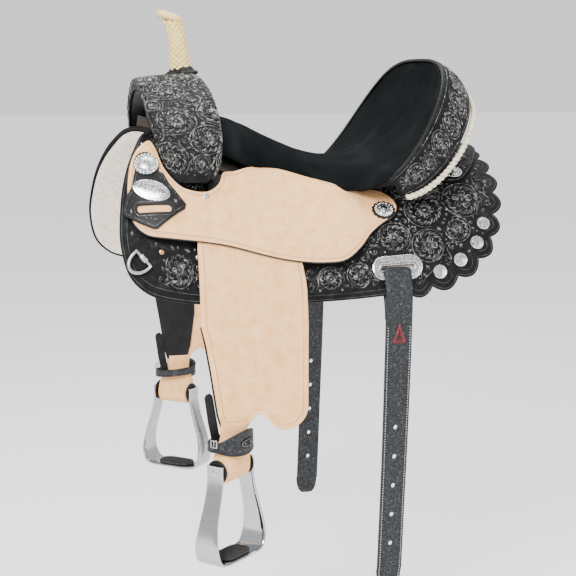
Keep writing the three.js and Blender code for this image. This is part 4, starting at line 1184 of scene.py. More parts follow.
def build_billet():
    """The doubled strap: one leather folded through the plate, hanging from the lacing down."""
    front = np.array([on_back(BILLET_X, s, n)[1:] for n, s in LOOP_LINE])
    down = np.array([(-245.6, -182.0), (-244.7, -199.5)])
    back = np.array([(-241.2, -199.5), (-239.0, -184.0)])
    loop = np.vstack([down[::-1], front, back[::-1]])
    path = resample(spline(loop, 4, closed=False), 2.5)
    shape = Shape()
    tangent = np.gradient(path, axis=0)
    tangent = unit(tangent)
    normal = np.stack([-tangent[:, 1], tangent[:, 0]], 1)
    columns = np.linspace(-0.5, 0.5, 9)
    rows = []
    for p, n in zip(path, normal):
        ring = []
        for side in (1, -1):
            for c in columns[::side]:
                soft = 1.6 * (1 - 0.55 * abs(2 * c) ** 6)
                q = p + n * side * soft
                ring.append((BILLET_X + BILLET_WIDTH * c, q[0], q[1]))
        rows.append(ring)
    shape.skin(rows)
    emit_pair("billet_turn", shape, STRAP, "root", ["billet_loop"])
    # the hanging strap, one piece with the turn's foot
    hanging = Shape()
    lean = lambda z: BILLET_X - 12 * max(0.0, (BILLET_TOP_Z - z) / (BILLET_TOP_Z - BILLET_END_Z)) ** 1.3
    half = lambda z: (BILLET_WIDTH - 2.4 * smooth_step((BILLET_TOP_Z - z) / 300)) / 2
    zs = np.arange(-197.0, BILLET_END_Z, -6.0)
    tip = [(lean(BILLET_END_Z) + half(-560) * a, BILLET_END_Z + b) for a, b in (
        (1.0, 26), (0.93, 15), (0.78, 6.5), (0.52, 0.8), (0.0, 0.0), (-0.52, 0.8), (-0.78, 6.5), (-0.93, 15),
        (-1.0, 26))]
    right = [(lean(z) + half(z), z) for z in zs if z > BILLET_END_Z + 30]
    left = [(lean(z) - half(z), z) for z in zs[::-1] if z > BILLET_END_Z + 30]
    outline = np.array(right + tip + left)
    holes = []
    for k in range(5):
        z = -362 - 45.0 * k
        if z > BILLET_END_Z + 25:
            around = np.linspace(0, 2 * math.pi, 14, endpoint=False)
            holes.append(np.array([(lean(z) + 3.1 * math.cos(a), z + 3.6 * math.sin(a)) for a in around]))
    place = upright_plane(241.7)

    def sag(flat, away, upper):
        """A slight wave, with no rounding where the strap goes on into the turn."""
        rounded = unrounded(away, 1.2)
        aside = BILLET_WIDTH / 2 - np.abs(flat[:, 0] - BILLET_X)
        at_top = (flat[:, 1] > -198.3) * smooth_step(aside / 1.2)
        wave_in = smooth_step((-215 - flat[:, 1]) / 40)
        return 0.25 * np.sin(flat[:, 1] / 37.0) * wave_in + rounded * at_top * (1 if upper else -1)

    cut_sheet(hanging, outline, place, 0.0, 4.6, holes, 6.0, edge=1.2, wave=sag)
    emit_pair("billet_strap", hanging, STRAP, "billet_strap", ["billet"],
              blend=BILLET_BEND, sharp=50)
    threads = Shape()
    for run in split_runs(inset(outline, 3.4, 1.6), 8.0):
        run = run[run[:, 1] < -208]
        if len(run) > 4:
            for part in split_runs(run, 8.0, closed=False):
                stitch_line(threads, part, place, lambda u, v: 4.75, 2.1, 4.0, 0.5)
    emit_pair("billet_stitching", threads, THREAD, "billet_strap", blend=BILLET_BEND)
    crease = Tooling(4)
    for sign in (-1, 1):
        crease.ridge([(lean(z) + sign * (half(z) - 5.6), z) for z in np.arange(-210, -585, -6.0)], 0.6, 0.25)
    emit_pair("billet_crease", crease.shape(place, lambda u, v: 4.6), EDGE, "billet_strap",
              blend=BILLET_BEND)
    lace = Shape()
    top, foot = -209.0, -232.0
    rows_at = np.linspace(top, foot, 8)
    for k, z in enumerate(rows_at):
        reach = 9.5 * (k + 0.6) / len(rows_at)
        for sign in (-1, 1):
            a = (BILLET_X + sign * (reach + 0.5), z)
            b = (BILLET_X + sign * (reach - 5.0 if reach > 5 else -0.5), z + 4.2)
            stitch = [place(a[0] + (b[0] - a[0]) * t, a[1] + (b[1] - a[1]) * t, 4.4 + 1.1 * math.sin(math.pi * t))
                      for t in np.linspace(0, 1, 7)]
            tube(lace, stitch, 0.9, 8)
    for sign in (-1, 1):
        edge_run = [place(BILLET_X + sign * 10 * t, top + (foot - top) * t, 5.0) for t in np.linspace(0, 1, 14)]
        tube(lace, edge_run, 0.8, 8)
    for x in np.linspace(-7, 7, 6):
        stitch = [place(BILLET_X + x + 1.2 * f, foot - 1.6 + 4.4 * f, 4.4 + 1.1 * math.sin(math.pi * f))
                  for f in np.linspace(0, 1, 7)]
        tube(lace, stitch, 0.9, 8)
    emit_pair("billet_lacing", lace, RED_LACE, "billet_strap", blend=BILLET_BEND)


def build_dee():
    """The breast collar dee: a smooth bent ring whose bar lies in the keeper tube."""
    centre = np.array([-267, -231.08, -97.47])
    bar = np.array([0.648, -0.207, -0.733])
    loop = np.array([-0.761, -0.199, -0.617])
    points = [centre + bar * t for t in np.linspace(-15, 15, 9)]
    turn = np.linspace(0, math.pi, 26)[1:-1]
    points += [centre + bar * 15 * math.cos(a) + loop * (25 * math.sin(a) ** 0.8) for a in turn]
    shape = Shape()
    tube(shape, points, 2.4, 14, closed=True)
    emit_pair("dee_ring", shape, STEEL, "dee_ring", ["breast_dee"])
    keeper = Shape()
    lathe(keeper, [(2.62, -6), (4.0, -6), (4.4, -5.6), (4.4, 5.6), (4.0, 6), (2.62, 6), (2.62, -6)], centre, bar, 28)
    emit_pair("dee_tube", keeper, STEEL, "root", ["dee_keeper"], sharp=50)


# ---- swell and horn ----
FORK_STATIONS = np.array([
    (0, 158, 40, 0, -244, -155), (42, 153, 40, 34, -244, -146), (84, 132, 35, 66, -243, -138),
    (118, 108, 28.5, 92, -241, -136), (144, 84, 26, 114, -237, -137), (163, 62, 26, 130, -234, -140),
    (176, 40, 24, 143, -230, -145), (183, 18, 20, 155, -221, -153), (186, 4, 15, 167, -209, -168)], float)


def fork_rings(drop=0.0):
    rings = []
    for y, z, under, s, front, rear in FORK_STATIONS:
        top_at = lambda x: z + 0.1 * (x + 195) * math.exp(-(y / 60) ** 2)
        foot_at = lambda x: on_back(x, s, under - drop)
        shoulder = min(10, (rear - front) * 0.2)
        ring = []
        for x, f in ((front, 0), (front, 0.45), (front, 0.86), (front + shoulder, 1), ((front + rear) / 2, 1.03),
                     (rear - shoulder, 1), (rear, 0.84), (rear, 0.42), (rear, 0)):
            foot = foot_at(x)
            ring.append((x, foot[1] + (-y - foot[1]) * f, foot[2] + (top_at(x) - foot[2]) * f))
        rings.append(ring)
    near = np.array(rings)
    far = near[1:] * (1, -1, 1)
    return np.concatenate([near[::-1], far], 0)


class Surface:
    """A smooth surface over a grid of stations, with lengths u along and v across."""

    def __init__(self, grid, u_steps, v_steps):
        rows = np.array([catmull(grid[:, k], u_steps) for k in range(grid.shape[1])]).transpose(1, 0, 2)
        self.points = np.array([catmull(row, v_steps) for row in rows])
        self.rows, self.columns = self.points.shape[:2]
        self.normals = self.find_normals()

    @classmethod
    def from_table(cls, points, normals):
        """A surface given directly by its rows of points and their normals."""
        surface = cls.__new__(cls)
        surface.points, surface.normals = points, normals
        surface.rows, surface.columns = points.shape[:2]
        return surface

    def find_normals(self):
        du = np.gradient(self.points, axis=0)
        dv = np.gradient(self.points, axis=1)
        n = np.cross(du, dv)
        n /= np.maximum(np.linalg.norm(n, axis=2), 1e-9)[..., None]
        if n[self.rows // 2, self.columns // 2, 2] < 0:
            n = -n
        return n

    def at(self, i, j, lift):
        """Points at fractional row i and column j."""
        i = np.clip(i, 0, self.rows - 1.001)
        j = np.clip(j, 0, self.columns - 1.001)
        a, b = np.floor(i).astype(int), np.floor(j).astype(int)
        fi, fj = (i - a)[..., None], (j - b)[..., None]
        mix = lambda m: (m[a, b] * (1 - fi) * (1 - fj) + m[a + 1, b] * fi * (1 - fj)
                         + m[a, b + 1] * (1 - fi) * fj + m[a + 1, b + 1] * fi * fj)
        n = mix(self.normals)
        n /= np.maximum(np.linalg.norm(n, axis=-1), 1e-9)[..., None]
        return mix(self.points) + n * np.asarray(lift)[..., None]


def catmull(points, steps):
    points = np.asarray(points, float)
    padded = np.vstack([2 * points[0] - points[1], points, 2 * points[-1] - points[-2]])
    out = []
    for k in range(1, len(padded) - 2):
        p0, p1, p2, p3 = padded[k - 1:k + 3]
        for t in np.arange(steps) / steps:
            out.append(0.5 * (2 * p1 + (p2 - p0) * t + (2 * p0 - 5 * p1 + 4 * p2 - p3) * t * t
                              + (3 * p1 - p0 - 3 * p2 + p3) * t ** 3))
    out.append(padded[-2])
    return np.array(out)


def build_swell():
    grid = fork_rings()
    surface = Surface(grid, 8, 6)
    outer = surface.points
    inner = outer - surface.normals * 3.4
    shape = Shape()
    rows, columns = surface.rows, surface.columns
    # outer and inner skins joined round the rim
    sheet = np.concatenate([outer, inner[:, ::-1]], 1)
    shape.skin(sheet)
    emit("swell_leather", shape, TOOLED, "root", ["swell_cover"])
    # tooling on the two faces seen from the side, laid out in lengths
    along = arc_lengths(outer[:, columns // 2])
    across = arc_lengths(outer[rows // 2])
    length = along[-1]

    def place(u, v, n):
        u, v, n = as_arrays(u, v, n)
        i = np.interp(u, along, np.arange(rows))
        j = np.interp(v, across, np.arange(columns))
        return surface.at(i, j, n)

    art = Tooling(41)
    front_edge = across[int(0.25 * (columns - 1))]
    rear_edge = across[int(0.80 * (columns - 1))]
    end_scale = 2.0
    region = np.array([(end_scale + 6, front_edge - 12), (length - end_scale - 6, front_edge - 12),
                       (length - end_scale - 6, rear_edge + 22), (end_scale + 6, rear_edge + 22)])
    art.fill(region, [], (26, 20, 15, 11, 8, 5.6, 4, 3), 0.8, 8000, [(length / 2, (front_edge + rear_edge) / 2, 25)])
    for v in (front_edge - 16, rear_edge + 26):
        art.ridge([(u, v) for u in np.arange(10, length - 9, 3.0)], 0.9, 0.55)
    emit("swell_tooling", art.shape(place, 0.0), RELIEF, "root")
    # a row of stitches along the front and rear edges of the top
    threads = Shape()
    for v in (front_edge - 20, rear_edge + 30):
        line = np.array([(u, v) for u in np.arange(10, length - 9, 3.0)])
        stitch_line(threads, line, place, lambda u, v: 0.12, 2.0, 3.6, 0.4)
    emit("swell_stitching", threads, BLACK, "root")
    # raised collar round the horn's foot
    collar = Shape()
    ruffle = lambda angles, r: 1 + 0.045 * np.cos(11 * angles) * (r > 16.5)
    lathe(collar, [
        (15.2, -8), (19.5, -4.5), (24.5, -2.0), (25.8, 0.4), (24.6, 2.0), (19.0, 5.0), (17.0, 9.0), (15.4, 10.5),
        (15.2, -8)], np.array([HORN_X, 0, 160.0]), np.array([-0.08, 0, 1.0]), 88, ruffle)
    emit("horn_collar", collar, BLACK, "root")


HORN_PATH = [(-171, 150, 15), (-172, 159, 14.5), (-174, 184, 12.5), (-176, 206, 11), (-179, 224, 11), (-184, 240, 13)]


def build_horn():
    """Rawhide strands braided over and under round the neck and out over the cap."""
    path = catmull(np.array([(x, 0, z) for x, z, r in HORN_PATH], float), 8)
    radii = catmull(np.array([(r, 0, 0) for x, z, r in HORN_PATH], float), 8)[:, 0]
    z_of = path[:, 2]
    shape = Shape()
    strands = 9
    start, stop = 158.0, 240.0
    for family in (-1, 1):
        for k in range(strands):
            points = []
            count = 96
            for m in range(count + 1):
                z = start + (stop - start) * m / count
                r = float(np.interp(z, z_of, radii)) + 1.5
                x = float(np.interp(z, z_of, path[:, 0]))
                angle = family * 2 * math.pi * 1.15 * m / count + 2 * math.pi * k / strands
                weave = math.cos(strands * 2 * math.pi * 1.15 * m / count + math.pi * (family > 0))
                lift = 0.75 * weave
                points.append((x + (r + lift) * math.cos(angle), (r + lift) * math.sin(angle), z))
            centre = np.array([(float(np.interp(p[2], z_of, path[:, 0])), 0, p[2]) for p in points])
            outward_dir = np.array(points) - centre
            tube(shape, points, 2.9, 8, squash=0.42, up=outward_dir)
    emit("horn_neck_braid", shape, RAWHIDE, "root", ["horn_wrap"])
    # the cap: an ellipsoid with two families of strands from the rim to the middle
    tilt = math.radians(20)
    centre = np.array([-189.0, 0, 246.0])
    ex = np.array([math.cos(tilt), 0, -math.sin(tilt)])
    ez = np.array([math.sin(tilt), 0, math.cos(tilt)])
    cap = Shape()
    base = Shape()
    ey = np.array([0, 1.0, 0])
    cap_x, cap_y, cap_z = 19.6, 18.6, 6.4

    def cap_point(v, a):
        level = ex * cap_x * math.cos(v) * math.cos(a) + ey * cap_y * math.cos(v) * math.sin(a)
        return centre + level + ez * cap_z * math.sin(v)

    rows = [[cap_point(v, a) for a in np.linspace(0, 2 * math.pi, 48, endpoint=False)]
            for v in np.linspace(-math.pi / 2, math.pi / 2, 17)]
    base.skin(rows)
    emit("horn_cap_base", base, RAWHIDE, "root")
    turns = 22
    for family in (-1, 1):
        for k in range(turns):
            points, ups = [], []
            for m in range(25):
                f = m / 24
                v = -0.55 + (math.pi / 2 + 0.35) * f
                a = 2 * math.pi * k / turns + family * f * 1.5
                weave = 0.45 * math.cos(turns * f * 1.5 + math.pi * (family > 0))
                n = np.array([
                    math.cos(v) * math.cos(a) / cap_x, math.cos(v) * math.sin(a) / cap_y, math.sin(v) / cap_z])
                n /= np.linalg.norm(n)
                out = ex * n[0] + ey * n[1] + ez * n[2]
                points.append(cap_point(v, a) + out * (0.5 + weave))
                ups.append(out)
            sizes = [2.5 * max(0.25, math.cos(-0.55 + (math.pi / 2 + 0.35) * m / 24)) + 0.15 for m in range(25)]
            tube(cap, points, sizes, 7, squash=0.42, up=np.array(ups))
    dome(cap, centre + ez * 5.9, ez, 4.2, 1.7, 20, 4)
    emit("horn_cap_braid", cap, RAWHIDE, "root")


# ---- seat and cantle ----
SEAT_STATIONS = np.array([
    (-126, 98, -126, 34, 122), (-88, 86, -88, 17, 123), (-40, 63, -40, 10, 103), (10, 42, 5, -3, 126),
    (62, 32, 42, -17, 150), (112, 38, 66, -16, 158), (150, 60, 76, -10, 180), (182, 95, 82, -6, 194),
    (205, 138, 83, -4, 203), (218, 181, 83, -3, 208)], float)


def seat_top(u, v):
    """A point of the seat's top: u runs from the front station to the rim, v from -1 to 1 across.

    Below 0 it runs on forwards, under the swell.
    """
    forward = np.minimum(u, 0)
    fine = [np.interp(u, np.linspace(0, 9, len(SEAT_CURVES)), SEAT_CURVES[:, k]) for k in range(5)]
    centre_x, centre_z, edge_x, edge_z, half = fine
    dish = smooth_step((u - 4) / 5)
    angle = np.abs(v) ** (1 + 0.5 * dish) * math.pi / 2
    cos, sin = np.cos(angle), np.sin(angle)
    reach = np.sign(v) * sin ** (1 - 0.38 * dish)
    bend_x = cos ** (1 - 0.5 * dish)
    bend_z = cos ** 0.8
    x = edge_x + (centre_x - edge_x) * bend_x + 34 * forward
    return np.stack([x, half * reach, edge_z + (centre_z - edge_z) * bend_z - 9 * forward], -1)


SEAT_CURVES = catmull(SEAT_STATIONS, 12)


def arch_point(arch, turn):
    angle = min(1.0, abs(turn) / (math.pi / 2)) ** ARCH_SPACING * math.pi / 2
    cos, sin = max(0.0, math.cos(angle)), math.sin(angle)
    return np.array([
        arch["end_x"] + (arch["top_x"] - arch["end_x"]) * cos ** arch["bend_x"],
        math.copysign(arch["half"] * sin ** arch["bend_y"], turn),
        arch["end_z"] + (arch["top_z"] - arch["end_z"]) * cos ** arch["bend_z"]])


def cantle_back(turn, w, out):
    """A point behind the cantle: w runs from the rim to the lacing."""
    step = 0.03
    rim = arch_point(RIM, turn)
    across = arch_point(LACE, turn) - rim
    along = arch_point(RIM, turn + step) - arch_point(RIM, turn - step)
    along /= np.linalg.norm(along)
    normal = np.cross(along, across)
    normal /= np.linalg.norm(normal)
    if normal[0] < 0:
        normal = -normal
    return rim + across * w + normal * (out + 7 * math.sin(math.pi * w) * math.cos(turn))


def build_seat():
    us = np.linspace(-0.7, 8.93, 90)
    vs = np.sin(np.linspace(-1, 1, 97) * math.pi / 2 * 0.97) * 0.985
    u, v = np.meshgrid(us, vs, indexing="ij")
    top = seat_top(u, v)
    du, dv = np.gradient(top, axis=0), np.gradient(top, axis=1)
    normal = np.cross(du, dv)
    normal /= np.maximum(1e-9, np.linalg.norm(normal, axis=2))[..., None]
    normal *= np.where(normal[..., 2:3] < 0, -1, 1)
    depth = 9 - 4.5 * smooth_step((u - 5) / 4) - 1.5 * np.abs(v)
    soft = np.minimum(1, np.minimum((us[-1] - u) / 0.25, (u + 0.7) / 0.4) ) ** 0.5
    soft = soft * np.minimum(1, (0.985 - np.abs(v)) / 0.05) ** 0.5
    lift = -2.0 * (1 - soft)
    # a shallow crease where the padding meets the seat's front
    lift -= 0.8 * np.exp(-((u - 1.0) / 0.12) ** 2)
    grain = np.zeros(lift.shape)
    for i in range(lift.shape[0]):
        for j in range(lift.shape[1]):
            x, y, z = top[i, j]
            slow = noise.noise(Vector((x / 38, y / 38, z / 38)))
            quick = noise.noise(Vector((x / 13, y / 13, 4)))
            grain[i, j] = slow * 0.5 + quick * 0.16
    upper = top + normal * (lift + grain)[..., None]
    lower = top - normal * depth[..., None]
    sheet = np.concatenate([upper, lower[:, ::-1]], 1)
    shape = Shape()
    shape.skin(sheet)
    made = emit("seat_suede", shape, SUEDE, "root", ["seat"])
    welt = Shape()
    path = [arch_point(RIM, t) + np.array([0.6, 0, 0.6])
            for t in np.linspace(-math.pi / 2 * 0.985, math.pi / 2 * 0.985, 150)]
    tube(welt, path, 2.3, 10)
    emit("seat_welt", welt, BLACK, "root")
    threads = Shape()
    lengths = np.linspace(-1.45, 1.45, 130)
    for a, b in zip(lengths[:-1], lengths[1:]):
        points = [arch_point(RIM, a + (b - a) * f) + np.array([-4.5, 0, 0.2]) for f in (0.2, 0.5, 0.8)]
        tube(threads, points, [0.25, 0.45, 0.25], 5)
    emit("seat_stitching", threads, BLACK, "root")


CANTLE_REACH = math.radians(89.3)


def cantle_turns(count):
    """Turns along the cantle from end to end, closer together at the ends."""
    along = np.linspace(-1, 1, count)
    return np.sign(along) * (1 - (1 - np.abs(along)) ** 1.5) * CANTLE_REACH


def build_cantle():
    turns = cantle_turns(170)
    ws = np.linspace(-0.01, 0.98, 17)
    rows = []
    for turn in turns:
        outer = [cantle_back(turn, w, 3.8 - 1.6 * abs(2 * (w + 0.01) / 0.99 - 1) ** 8) for w in ws]
        inner = [cantle_back(turn, w, 0.1) for w in ws[::-1]]
        rows.append(outer + inner)
    shape = Shape()
    shape.skin(rows)
    emit("binding_leather", shape, TOOLED, "root", ["cantle_binding"])
    middle = np.array([cantle_back(t, 0.54, 4) for t in turns])
    along = arc_lengths(middle)
    table_ws = np.linspace(0.02, 0.98, 12)
    table = np.array([[cantle_back(t, w, 3.85) for w in table_ws] for t in turns])
    surface = Surface.from_table(table, np.array([
        [cantle_back(t, w, 4.85) - cantle_back(t, w, 3.85) for w in table_ws] for t in turns]))
    band = 50.0

    def place(u, v, n):
        u, v, n = as_arrays(u, v, n)
        return surface.at(np.interp(u, along, np.arange(len(turns))), np.clip(v / band, 0, 1) * 11, n)

    art = Tooling(51)
    length = along[-1]
    region = np.array([(4, 7), (length - 4, 7), (length - 4, band - 7), (4, band - 7)])
    art.fill(region, [], (17.5, 13, 9.5, 7, 5.2, 4, 3), 0.6, 12000)
    for v in (3.2, band - 4.5):
        art.ridge([(u, v) for u in np.arange(3, length - 2, 3.0)], 1.0, 0.55)
    emit("binding_tooling", art.shape(place, 0.0), RELIEF, "root")
    # the laced edge: light strands wound round a core, over and over, with a slant
    core = Shape()
    core_path = [cantle_back(t, 1.11, 2.4) for t in turns]
    tube(core, core_path, 3.2, 14)
    strands = Shape()
    fine = cantle_turns(1600)
    line = np.array([cantle_back(t, 1.11, 2.4) for t in fine])
    run = arc_lengths(line)
    tangent = np.gradient(line, axis=0)
    tangent = unit(tangent)
    ref = np.array([cantle_back(t, 1.11, 3.4) for t in fine]) - line
    ref = unit(ref)
    side = np.cross(tangent, ref)
    pitch = 8.2
    for k in range(int(run[-1] / pitch)):
        points, ups = [], []
        for a in np.linspace(-0.6 * math.pi, 0.62 * math.pi, 9):
            at = k * pitch + 4.0 + a * 2.4
            index = np.clip(np.searchsorted(run, at), 0, len(run) - 1)
            out = ref[index] * math.cos(a) + side[index] * math.sin(a)
            points.append(line[index] + out * 3.4)
            ups.append(out)
        tube(strands, points, [1.6, 2.6, 3.2, 3.6, 3.7, 3.6, 3.2, 2.6, 1.6], 10, squash=0.55, up=np.array(ups))
    emit("lacing_core", core, LACING, "root", ["cantle_lacing"])
    emit("lacing_strands", strands, LACING, "root")


# ---- fender, leathers and stirrup ----
FENDER_SEAM = (-188.5, -31.0, -196.5)
FENDER_POINTS = np.vstack([
    [(-188.5, -196.5), (-182, -222), (-175, -262), (-165, -327), (-160, -345), (-121, -345)],
    spline([
        (-119, -341), (-114, -335), (-104, -328), (-94, -332), (-82, -347), (-68, -354), (-46, -348), (-34, -334),
        (-31, -318)], 6, closed=False),
    [(-31, -196.5)]])
FENDER_BEND = ("fender_swing", "fender_drop", (-135.6, -244.5, -195), (-135.6, -244.5, -245))
FENDER_TOP_BEND = ("root", "fender_swing", (-135.6, -244.5, -100), (-135.6, -244.5, -185))


def build_fender():
    flat_place = upright_plane(FENDER_Y)

    def ripple(flat, away, upper):
        """Slow waves; the rounding is undone where the two halves of the fender meet."""
        waves = np.array([noise.noise(Vector((u / 60, v / 60, 2))) for u, v in flat]) * 0.7
        rounded = unrounded(away, 1.3)
        aside = np.minimum(flat[:, 0] - FENDER_SEAM[0], FENDER_SEAM[1] - flat[:, 0])
        at_seam = (np.abs(flat[:, 1] - FENDER_SEAM[2]) < 1.35) * smooth_step(aside / 1.3)
        return waves + rounded * at_seam * (1 if upper else -1)

    lower = Shape()
    cut_sheet(lower, FENDER_POINTS, flat_place, 0.0, 3.8, [], 7.0, edge=1.3, wave=ripple)
    emit_pair("fender_leather", lower, NATURAL, "fender_drop", ["fender"],
              blend=FENDER_BEND, sharp=50)
    # the upper part comes out from under the jockey and bends down flat
    upper = Shape()
    outline = np.array([
        (-188.5, -196.5), (-31, -196.5), (-33, -150), (-36, -112), (-40, -78), (-186, -78), (-190, -110),
        (-190, -150)])
    cut_sheet(upper, outline, fender_top_place, 0.0, 3.8, [], 6.0, edge=1.3, wave=ripple)
    emit_pair("fender_top_leather", upper, NATURAL, "fender_swing", ["fender_upper"],
              blend=FENDER_TOP_BEND, sharp=50)
    border = Shape()
    art = Tooling(6)
    taller = np.vstack([[(-189, -178)], FENDER_POINTS, [(-31, -178)]])
    for run in split_runs(inset(taller, 7.5, 2.0), 8.0):
        for part in split_runs(run[run[:, 1] < -197], 8.0, closed=False):
            art.ridge(part, 1.2, 0.25)
            stitch_line(border, part, flat_place, lambda u, v: 3.8, 2.4, 3.6, 0.55)
    emit_pair("fender_stitching", border, NATURAL_EDGE, "fender_drop", blend=FENDER_BEND)
    emit_pair("fender_crease", art.shape(flat_place, 3.8), NATURAL_EDGE, "fender_drop",
              blend=FENDER_BEND)
    top_border = Shape()
    top_art = Tooling(7)
    for inside_x in ((-181, -182.5, -182), (-38.5, -40.5, -44)):
        zs = np.arange(-197.0, -96.0, 3.0)
        part = np.stack([np.interp(zs, (-197, -150, -100), inside_x), zs], 1)
        top_art.ridge(part, 1.2, 0.25)
        stitch_line(top_border, part, fender_top_place, lambda u, v: 3.8, 2.4, 3.6, 0.55)
    emit_pair("fender_top_stitching", top_border, NATURAL_EDGE, "fender_swing",
              blend=FENDER_TOP_BEND)
    top_crease = top_art.shape(fender_top_place, 3.8)
    emit_pair("fender_top_crease", top_crease, NATURAL_EDGE, "fender_swing",
              blend=FENDER_TOP_BEND)
    back = Shape()
    leather = np.array([
        (-190, -197), (-184, -224), (-177, -264), (-167, -329), (-162, -345), (-127, -345), (-120, -322),
        (-112, -262), (-112, -197)])
    back_place = upright_plane(LEATHER_Y)
    cut_sheet(back, leather, back_place, 0.0, 2.8, [], 7.0, edge=1.0)
    tail = np.array([
        (-184, -302), (-182, -297), (-176, -295), (-172, -299), (-166, -336), (-160, -372), (-172, -375),
        (-179, -340)])
    tail_shape = Shape()
    cut_sheet(tail_shape, tail, lambda u, v, n: back_place(u, v, np.asarray(n) - 3.4), 0.0, 2.8, [], 5.0, edge=1.0)
    emit_pair("leather_tail", tail_shape, BLACK, "fender_drop")
    emit_pair("leather_backing", back, BLACK, "fender_drop", ["stirrup_leather"],
              blend=FENDER_BEND)


def fender_top_line(u, v):
    """The inner face of the fender's upper part: over the back, out past the jockey's edge, then straight down."""
    edge_s = np.interp(u, (-232, -143, -56, -5), (248, 247, 257, 260)) - 3
    start = on_back(u, edge_s, 12.9)
    lead = start - on_back(u, edge_s - 1, 12.9)
    end = np.stack(np.broadcast_arrays(u, -245.2, -150.0), -1)
    t = np.clip((v + 150) / 50.0, 0, 1)[..., None]
    span = 46.0
    down = np.array([0, 0, 1.0]) * span
    curve = ((2 * t ** 3 - 3 * t ** 2 + 1) * end + (t ** 3 - 2 * t ** 2 + t) * down
             + (-2 * t ** 3 + 3 * t ** 2) * start + (t ** 3 - t ** 2) * (-lead * span))
    below = np.minimum(v + 150, 0)[..., None] * np.array([0, 0, 1.0])
    over = np.maximum(v + 100, 0)
    beyond = on_back(u, edge_s - over, 12.9) - start
    return curve + below + beyond


def fender_top_place(u, v, n):
    u, v, n = as_arrays(u, v, n)
    du = fender_top_line(u + 0.5, v) - fender_top_line(u - 0.5, v)
    dv = fender_top_line(u, v + 0.5) - fender_top_line(u, v - 0.5)
    normal = np.cross(du, dv)
    normal = unit(normal)
    normal *= np.where(normal[..., 1:2] > 0, -1, 1)
    return fender_top_line(u, v) + normal * n[..., None]


def twist_frame(half=False):
    angle = STIRRUP_TURN * (0.5 if half else 1)
    return np.array([math.cos(angle), math.sin(angle), 0]), np.array([-math.sin(angle), math.cos(angle), 0])


def local(x, y, z, half=False):
    """Near-side point given in the stirrup's own frame."""
    ex, ey = twist_frame(half)
    x, y, z = as_arrays(x, y, z)
    origin = np.array([STIRRUP_X, STIRRUP_Y, 0])
    return origin + x[..., None] * ex + y[..., None] * ey + z[..., None] * np.array([0, 0, 1.0])


def build_neck():
    """The leather that turns from the fender down to the roll round the bolt."""
    shape = Shape()
    rows = []
    count = 34
    # from the flat foot of the fender, turning with the twist, then round under the bolt
    for k in range(count):
        f = k / (count - 1)
        z = NECK_TOP_Z + (BOLT_Z - NECK_TOP_Z) * f
        twist = STIRRUP_TURN * smooth_step(f * 1.1)
        ex = np.array([math.cos(twist), math.sin(twist), 0])
        ey = np.array([-math.sin(twist), math.cos(twist), 0])
        centre = np.array([-141.0 - 6.0 * f, STIRRUP_Y, z])
        half = 20.0 + 11.0 * smooth_step((f - 0.25) / 0.6)
        deep = 4.5 + (ROLL_RADIUS - 4.5) * smooth_step((f - 0.15) / 0.85)
        ring = []
        for a in np.linspace(0, 2 * math.pi, 40, endpoint=False):
            c, s = math.cos(a), math.sin(a)
            px = half * math.copysign(abs(c) ** 0.35, c)
            py = deep * math.copysign(abs(s) ** (1 - 0.4 * abs(c)), s)
            ring.append(centre + ex * px + ey * py)
        rows.append(ring)
    for a in np.linspace(0, math.pi / 2, 12)[1:]:
        ex, ey = twist_frame()
        ring = []
        for b in np.linspace(0, 2 * math.pi, 40, endpoint=False):
            c, s = math.cos(b), math.sin(b)
            px = 31.0 * math.copysign(abs(c) ** 0.35, c)
            py = ROLL_RADIUS * math.cos(a) * math.copysign(abs(s) ** (1 - 0.4 * abs(c)), s)
            drop = np.array([0, 0, -ROLL_RADIUS * math.sin(a)])
            ring.append(BOLT_CENTRE + ex * px + ey * py + drop)
        rows.append(ring)
    shape.skin(rows)
    emit_pair("roll_leather", shape, NATURAL, "fender_drop", ["stirrup_roll"])
    # a thick black washer at each end of the roll
    for side in (-1, 1):
        ring = Shape()
        ex, ey = twist_frame()
        lathe(ring, [(5.6, 0), (16.4, 0), (17.4, 0.8), (17.4, 2.5), (16.4, 3.2), (5.6, 3.2), (5.6, 0)],
              BOLT_CENTRE + ex * (31.2 * side), ex * side, 36)
        emit_pair(f"roll_washer_{'near' if side < 0 else 'far'}", ring, BLACK, "fender_drop")
    bolt = Shape()
    ex, ey = twist_frame()
    lathe(bolt, [(0.1, -40.4), (4.0, -40.4), (4.9, -39.8), (4.9, 39.8), (4.0, 40.4), (0.1, 40.4)],
          BOLT_CENTRE, ex, 28)
    emit_pair("bolt_steel", bolt, STEEL, "fender_drop", ["stirrup_bolt"], sharp=40)


STIRRUP_STATIONS = np.array([
    (37, -395, 28), (37.5, -418, 28), (41, -438, 28), (47, -458, 29), (54, -480, 32), (58, -502, 38), (58, -518, 42),
    (53, -532, 44), (43, -538.4, 45), (22, -540, 45), (0, -540, 45)], float)


